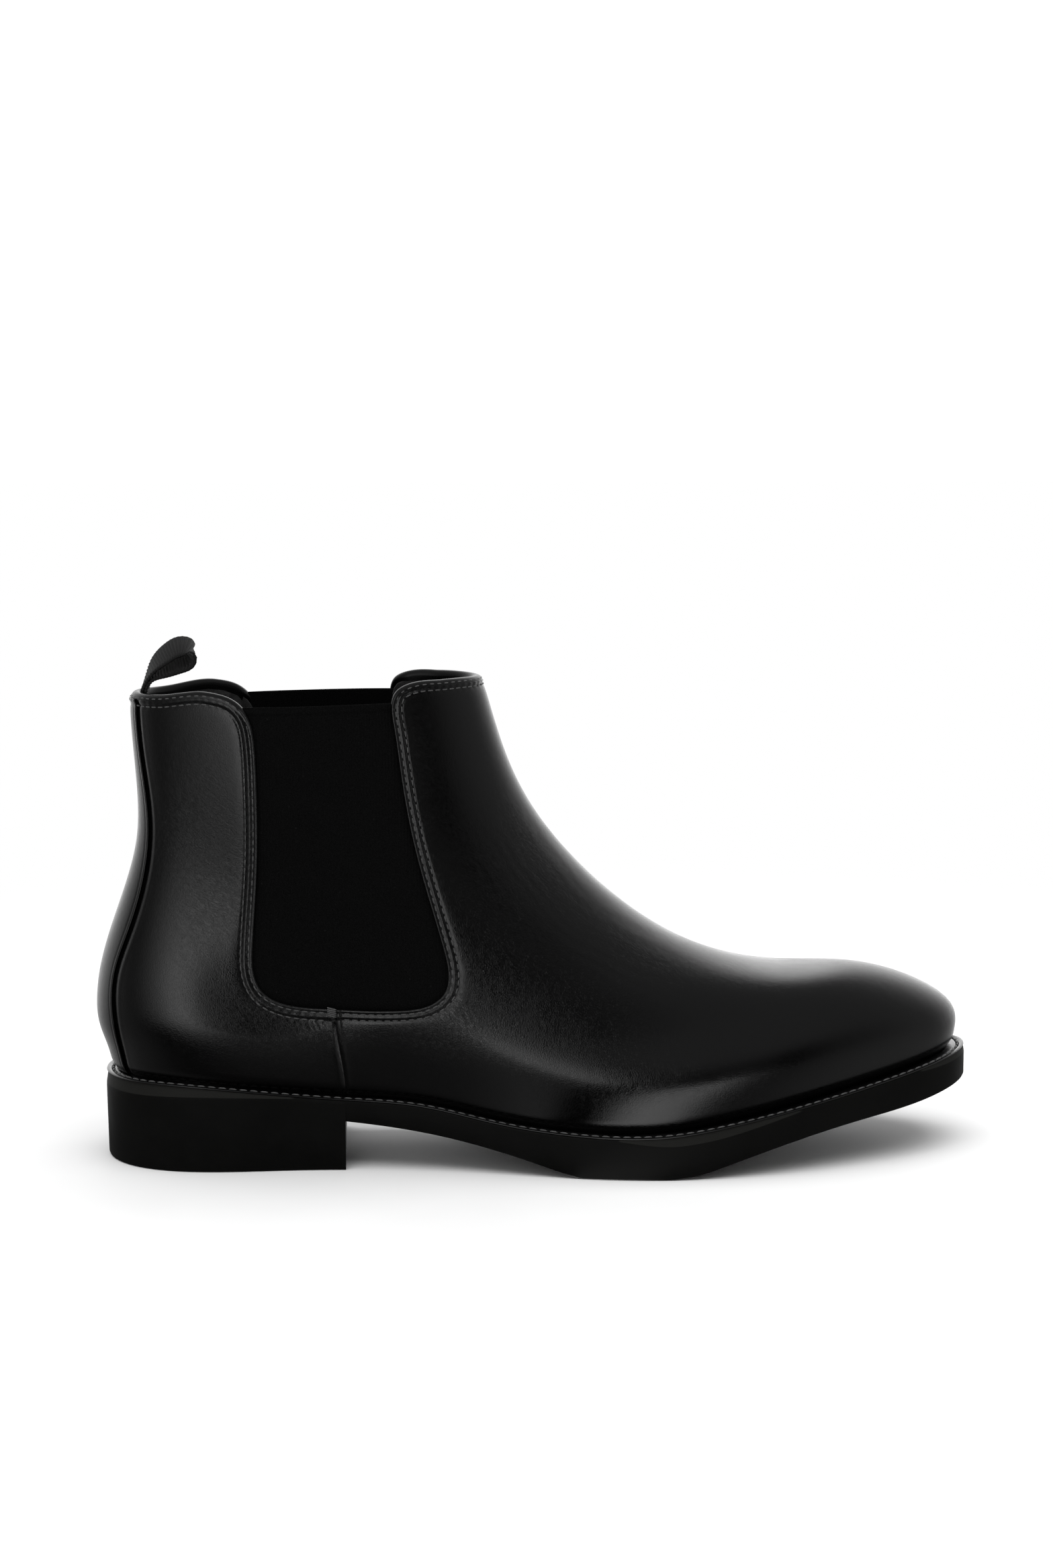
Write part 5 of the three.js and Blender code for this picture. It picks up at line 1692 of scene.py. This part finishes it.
# ---- the pull loop
@dataclass
class PullLoop:
    """Ribbed webbing loop at the back, with its ends between the layers of the collar."""

    place: Placement
    width: float = 14.0
    thickness: float = 1.15
    rib_pitch: float = 1.1
    rib_height: float = 0.19

    def tape(self) -> tuple[Body, Array]:
        """Tape carried along its middle line, twisted so that the far edge stands higher at the crest.

        Returns:
            The closed tape and its (across, along) map in millimetres.
        """
        middle = curve_points([(14.2, 0, 157), (14.7, 0, 161.6), (15.9, 0, 165.6), (19.0, 0, 171.6),
                               (23.8, 0, 176.0), (28.8, 0, 178.1), (32.0, 0, 176.9), (31.8, 0, 174.3),
                               (28.0, 0, 172.0), (22.8, 0, 169.9), (18.4, 0, 167.4), (16.7, 0, 164.6),
                               (16.1, 0, 161.4), (15.7, 0, 157)], 0.2)
        count = len(middle)
        share = np.linspace(0, 1, count)
        twist = np.exp(-((share - 0.5) / 0.3) ** 4)
        across = unit(np.column_stack([-0.16 * twist, np.full(count, 1.0), 0.4 * twist]))
        along = unit(np.gradient(middle, axis=0))
        across = unit(across - along * (across * along).sum(1, keepdims=True))
        out = unit(np.cross(across, along))
        run = run_along(middle)
        rib = self.rib_height * np.cos(2 * math.pi * run / self.rib_pitch)
        half, flat = self.width / 2, np.linspace(-1, 1, 17)
        u = np.concatenate([flat * half, [half + 0.12], -flat * half, [-half - 0.12]])
        edge = np.concatenate([flat, [1.0], -flat, [-1.0]])
        face = np.repeat([1.0, 0.0, -1.0, 0.0], [17, 1, 17, 1])
        from_middle = np.abs(edge)
        swell = 1 + 0.16 * smooth_step(from_middle, 0.84, 0.97) - 0.35 * smooth_step(from_middle, 0.985, 1.0)
        lift = face * (self.thickness / 2 * swell + rib[:, None] * (from_middle < 0.99))
        lift += 0.21 * edge**2 * twist[:, None]
        scallop = np.sign(edge) * (from_middle > 0.99) * 0.1
        scallop = scallop * np.cos(2 * math.pi * run / self.rib_pitch)[:, None]
        profile = np.stack([u + scallop, lift], axis=-1)
        points = middle[:, None] + across[:, None] * profile[..., :1] + out[:, None] * profile[..., 1:]
        upper = np.arange(17)
        lower = 34 - upper
        cap = np.column_stack([upper[:-1], upper[1:], lower[1:], lower[:-1]])
        ends = np.array([[16, 17, 18, 18], [0, 34, 35, 35]])
        last = (count - 1) * len(u)
        body = Body(points.reshape(-1, 3), np.vstack([grid_quads(count, len(u), False, True), cap[:, ::-1],
                                                      cap + last, ends[:, ::-1], ends + last]))
        mapping = np.stack([np.broadcast_to(run[:, None], (count, len(u))),
                            np.broadcast_to(u, (count, len(u)))], axis=-1).reshape(-1, 2)
        return body.outward(), mapping

    def build(self) -> None:
        """Makes the loop, with its map and webbing, and hides the frame's loop and its ends."""
        webbing = WovenFinish("loop webbing", (0.005,) * 3, (0.014,) * 3, 0.72, ribs=1 / self.rib_pitch,
                              threads=2.4, bump=0.5, bump_distance=0.00007, mapped=True,
                              gloss=Gloss(specular=0.3, sheen=0.02)).material()
        body, mapping = self.tape()
        piece = mesh_piece("webbing_loop", body, self.place)
        layer = piece.data.uv_layers.new(name="tape")
        corner = np.empty(len(piece.data.loops), np.int32)
        piece.data.loops.foreach_get("vertex_index", corner)
        layer.data.foreach_set("uv", mapping[corner].astype(np.float32).ravel())
        piece.data.materials.append(webbing)
        tuple(self.place((15, 0, 163.4)))
        tuple(self.place((15, 0, 166.6)))
        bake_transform(piece)
        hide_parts("pull_loop", "pull_loop_ends")


# ---- hidden pieces
def dress_hidden_pieces() -> None:
    """Gives the pieces inside the boot, which keep their own shapes, their materials."""
    steel = PlainFinish("spring steel", (0.42, 0.42, 0.43), (0.3, 0.3, 0.31), 0.34, wear=0.3,
                        gloss=Gloss(metallic=1.0)).material()
    board = PlainFinish("insole board", (0.27, 0.2, 0.12), (0.2, 0.15, 0.09), 0.85, grain_scale=900,
                        bump=0.5).material()
    cork = PlainFinish("cork filler", (0.32, 0.18, 0.08), (0.14, 0.07, 0.03), 0.95, blotch_scale=420,
                       bump=0.7, bump_distance=0.0003).material()
    stiff = PlainFinish("pressed stiffener", (0.48, 0.44, 0.36), (0.38, 0.34, 0.28), 0.75, grain_scale=1200,
                        bump=0.4).material()
    nails = [f"heel_nail_{number}" for number in range(1, 6)]
    for material, names in ((cork, ["bottom_filler"]), (board, ["insole_board"]),
                            (stiff, ["heel_counter", "toe_puff"]),
                            (steel, [*nails, "shank", "shank_rivet_rear", "shank_rivet_front"])):
        for name in names:
            materials = bpy.data.objects[name].data.materials
            materials.clear()
            materials.append(material)


# ---- studio
# Room that the boot reflects: compass direction in degrees, 0 at the camera's side and positive
# towards the toe, and brightness
ROOM = ((-180, 1.4), (-125, 0.7), (-95, 0.2), (-72, 0.12), (-60, 0.2), (-48, 0.4), (-35, 0.75), (-24, 1.5),
        (-15, 2.2), (-10, 1.9), (-6, 0.1), (0, 0.0), (6, 0.0), (10, 0.3), (13, 1.5), (22, 1.9), (32, 1.5),
        (38, 0.3), (46, 0.1), (58, 0.2), (76, 0.3), (94, 0.26), (108, 0.45), (122, 0.8), (136, 1.2),
        (156, 1.6), (180, 1.5))
OVERHEAD = 0.24


def surroundings() -> bpy.types.NodeTree:
    """Brightness of the room that the boot reflects, by direction."""

    def wire(graph: Graph, given: dict, results: dict) -> None:
        """Strips by compass direction, which give way to an even grey above and to a dim floor at the left.

        The strip at the right stands low and near, so it fades above the horizon and far out on the floor.
        """
        parts = graph.add("ShaderNodeSeparateXYZ", {"Vector": given["Vector"]})
        x, y, z = (parts.outputs[axis] for axis in "XYZ")
        turn = graph.math("ARCTAN2", x, graph.math("MULTIPLY", y, -1.0))
        share = graph.math("MULTIPLY_ADD", turn, 0.5 / math.pi, 0.5)
        strips = graph.add("ShaderNodeValToRGB", {"Fac": share})
        stops = strips.color_ramp.elements
        while len(stops) < len(ROOM):
            stops.new(0.5)
        for stop, (azimuth, _) in zip(stops, ROOM):
            stop.position = (azimuth + 180) / 360
        for stop, (_, value) in zip(stops, ROOM):
            stop.color = (value / 2, value / 2, value / 2, 1)
        level = graph.math("MULTIPLY", strips.outputs[0], 2.0)
        flat = graph.math("SQRT", graph.math("MULTIPLY_ADD", x, x, graph.math("MULTIPLY", y, y)))
        rise = graph.math("ARCTAN2", z, flat)
        strip = graph.math("MULTIPLY", graph.ramp(turn, math.radians(4), math.radians(9)),
                           graph.ramp(turn, math.radians(52), math.radians(45)))
        high = graph.math("MAXIMUM", graph.ramp(rise, math.radians(-1), math.radians(7)),
                          graph.ramp(flat, 0.4, 0.75))
        faded = graph.math("MULTIPLY_ADD", graph.math("MULTIPLY", strip, high), -0.93, 1.0)
        level = graph.math("MULTIPLY", level, faded)
        above = graph.ramp(rise, math.radians(22), math.radians(56))
        over = graph.math("MULTIPLY_ADD", graph.math("SUBTRACT", OVERHEAD, level), above, level)
        left = graph.math("MULTIPLY", graph.ramp(turn, math.radians(4), math.radians(-6)),
                          graph.ramp(turn, math.radians(-75), math.radians(-60)))
        below = graph.math("MULTIPLY", graph.ramp(rise, math.radians(-3), math.radians(-17)), left)
        results["Level"] = graph.math("MULTIPLY", over, graph.math("MULTIPLY_ADD", below, -0.85, 1.0))

    return shader_group("surroundings", {"Vector": None}, ("Level",), wire)


@dataclass
class Studio:
    """Pale floor, white surroundings, one soft overhead panel and the camera."""

    azimuth: float = -3.0
    elevation: float = 7.9
    distance: float = 1.066
    target: tuple[float, float, float] = (-0.0037, 0.0008, 0.1291)
    lens: float = 69.97
    floor_half: float = 6.0
    panel_place: tuple[float, float, float] = (-0.0157, -0.29959, 1.9)
    panel_size: float = 2.6
    panel_power: float = 52.0
    panel_aim: tuple[float, float, float] = (0.0, 0.0, 0.09)

    def camera(self) -> None:
        """Camera aimed at its target."""
        data = bpy.data.cameras.new("camera")
        data.lens, data.sensor_width = self.lens, 36.0
        camera = bpy.data.objects.new("camera", data)
        bpy.context.scene.collection.objects.link(camera)
        turn, rise = math.radians(self.azimuth), math.radians(self.elevation)
        back = Vector((math.sin(turn) * math.cos(rise), -math.cos(turn) * math.cos(rise), math.sin(rise)))
        camera.location = Vector(self.target) + back * self.distance
        camera.rotation_euler = (-back).to_track_quat("-Z", "Y").to_euler()
        bpy.context.scene.camera = camera

    def floor(self) -> None:
        """Wide pale floor: lit near the boot, plain white far off, and dim in the boot's reflections."""
        mesh = bpy.data.meshes.new("floor")
        half = self.floor_half
        mesh.from_pydata([(-half, -half, 0), (half, -half, 0), (half, half, 0), (-half, half, 0)], [],
                         [(0, 1, 2, 3)])
        floor = bpy.data.objects.new("floor", mesh)
        bpy.context.scene.collection.objects.link(floor)
        material = bpy.data.materials.new("studio floor")
        material.use_nodes = True
        graph = Graph(material.node_tree)
        shader = material.node_tree.nodes["Principled BSDF"]
        shader.inputs["Roughness"].default_value = 0.6
        shader.inputs["Specular IOR Level"].default_value = 0.1
        at = graph.add("ShaderNodeTexCoord").outputs["Object"]
        reach = graph.add("ShaderNodeVectorMath", {0: at}, operation="LENGTH").outputs["Value"]
        tone = graph.noise(at, 9.0, 3.0)
        path = graph.add("ShaderNodeLightPath")
        shade = graph.ramp(tone, 0.3, 0.7, 0.9, 0.94)
        graph.tree.links.new(graph.add("ShaderNodeCombineColor", {0: shade, 1: shade, 2: shade}).outputs[0],
                             shader.inputs["Base Color"])
        white = graph.add("ShaderNodeEmission", {"Color": (1, 1, 1, 1), "Strength": 1.0})
        far = graph.math("MULTIPLY", graph.ramp(reach, 0.3, 0.62), path.outputs["Is Camera Ray"])
        seen = graph.add("ShaderNodeMixShader", {0: far, 1: shader.outputs[0], 2: white.outputs[0]})
        sunk = graph.add("ShaderNodeVectorMath", {0: at, 1: (0.0, 0.0, -0.08)}, operation="ADD").outputs[0]
        room = graph.group(surroundings(), Vector=sunk)
        mirrored = graph.add("ShaderNodeEmission", {"Color": (1, 1, 1, 1), "Strength": room.outputs["Level"]})
        mixed = graph.add("ShaderNodeMixShader", {0: path.outputs["Is Glossy Ray"], 1: seen.outputs[0],
                                                  2: mirrored.outputs[0]})
        output = material.node_tree.nodes["Material Output"]
        graph.tree.links.new(mixed.outputs[0], output.inputs["Surface"])
        mesh.materials.append(material)

    def world(self) -> None:
        """White to the camera, and the room to everything else."""
        world = bpy.data.worlds.new("studio")
        world.use_nodes = True
        graph = Graph(world.node_tree)
        background = world.node_tree.nodes["Background"]
        path = graph.add("ShaderNodeLightPath")
        room = graph.group(surroundings(), Vector=graph.add("ShaderNodeTexCoord").outputs["Generated"])
        strength = graph.math("MAXIMUM", path.outputs["Is Camera Ray"], room.outputs["Level"])
        graph.tree.links.new(strength, background.inputs["Strength"])
        background.inputs["Color"].default_value = (1, 1, 1, 1)
        bpy.context.scene.world = world

    def panel(self) -> None:
        """Soft light panel overhead, unseen by the camera and in reflections."""
        data = bpy.data.lights.new("overhead panel", "AREA")
        data.size, data.energy = self.panel_size, self.panel_power
        light = bpy.data.objects.new("overhead panel", data)
        light.location = self.panel_place
        towards = Vector(self.panel_aim) - light.location
        light.rotation_euler = towards.to_track_quat("-Z", "Y").to_euler()
        light.visible_camera = light.visible_glossy = False
        bpy.context.scene.collection.objects.link(light)

    def build(self) -> None:
        """Sets up the whole studio."""
        self.camera()
        self.floor()
        self.world()
        self.panel()
        view = bpy.context.scene.view_settings
        view.view_transform, view.look = "Standard", "None"


def main() -> None:
    """Builds the boot round the frame."""
    logging.basicConfig(level=logging.INFO, format="%(name)s: %(message)s")
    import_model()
    place = Placement.from_frame()
    Studio().build()
    Bottom(place).build()
    Upper(place).build()
    PullLoop(place).build()
    dress_hidden_pieces()


if __name__ == "__main__":
    main()
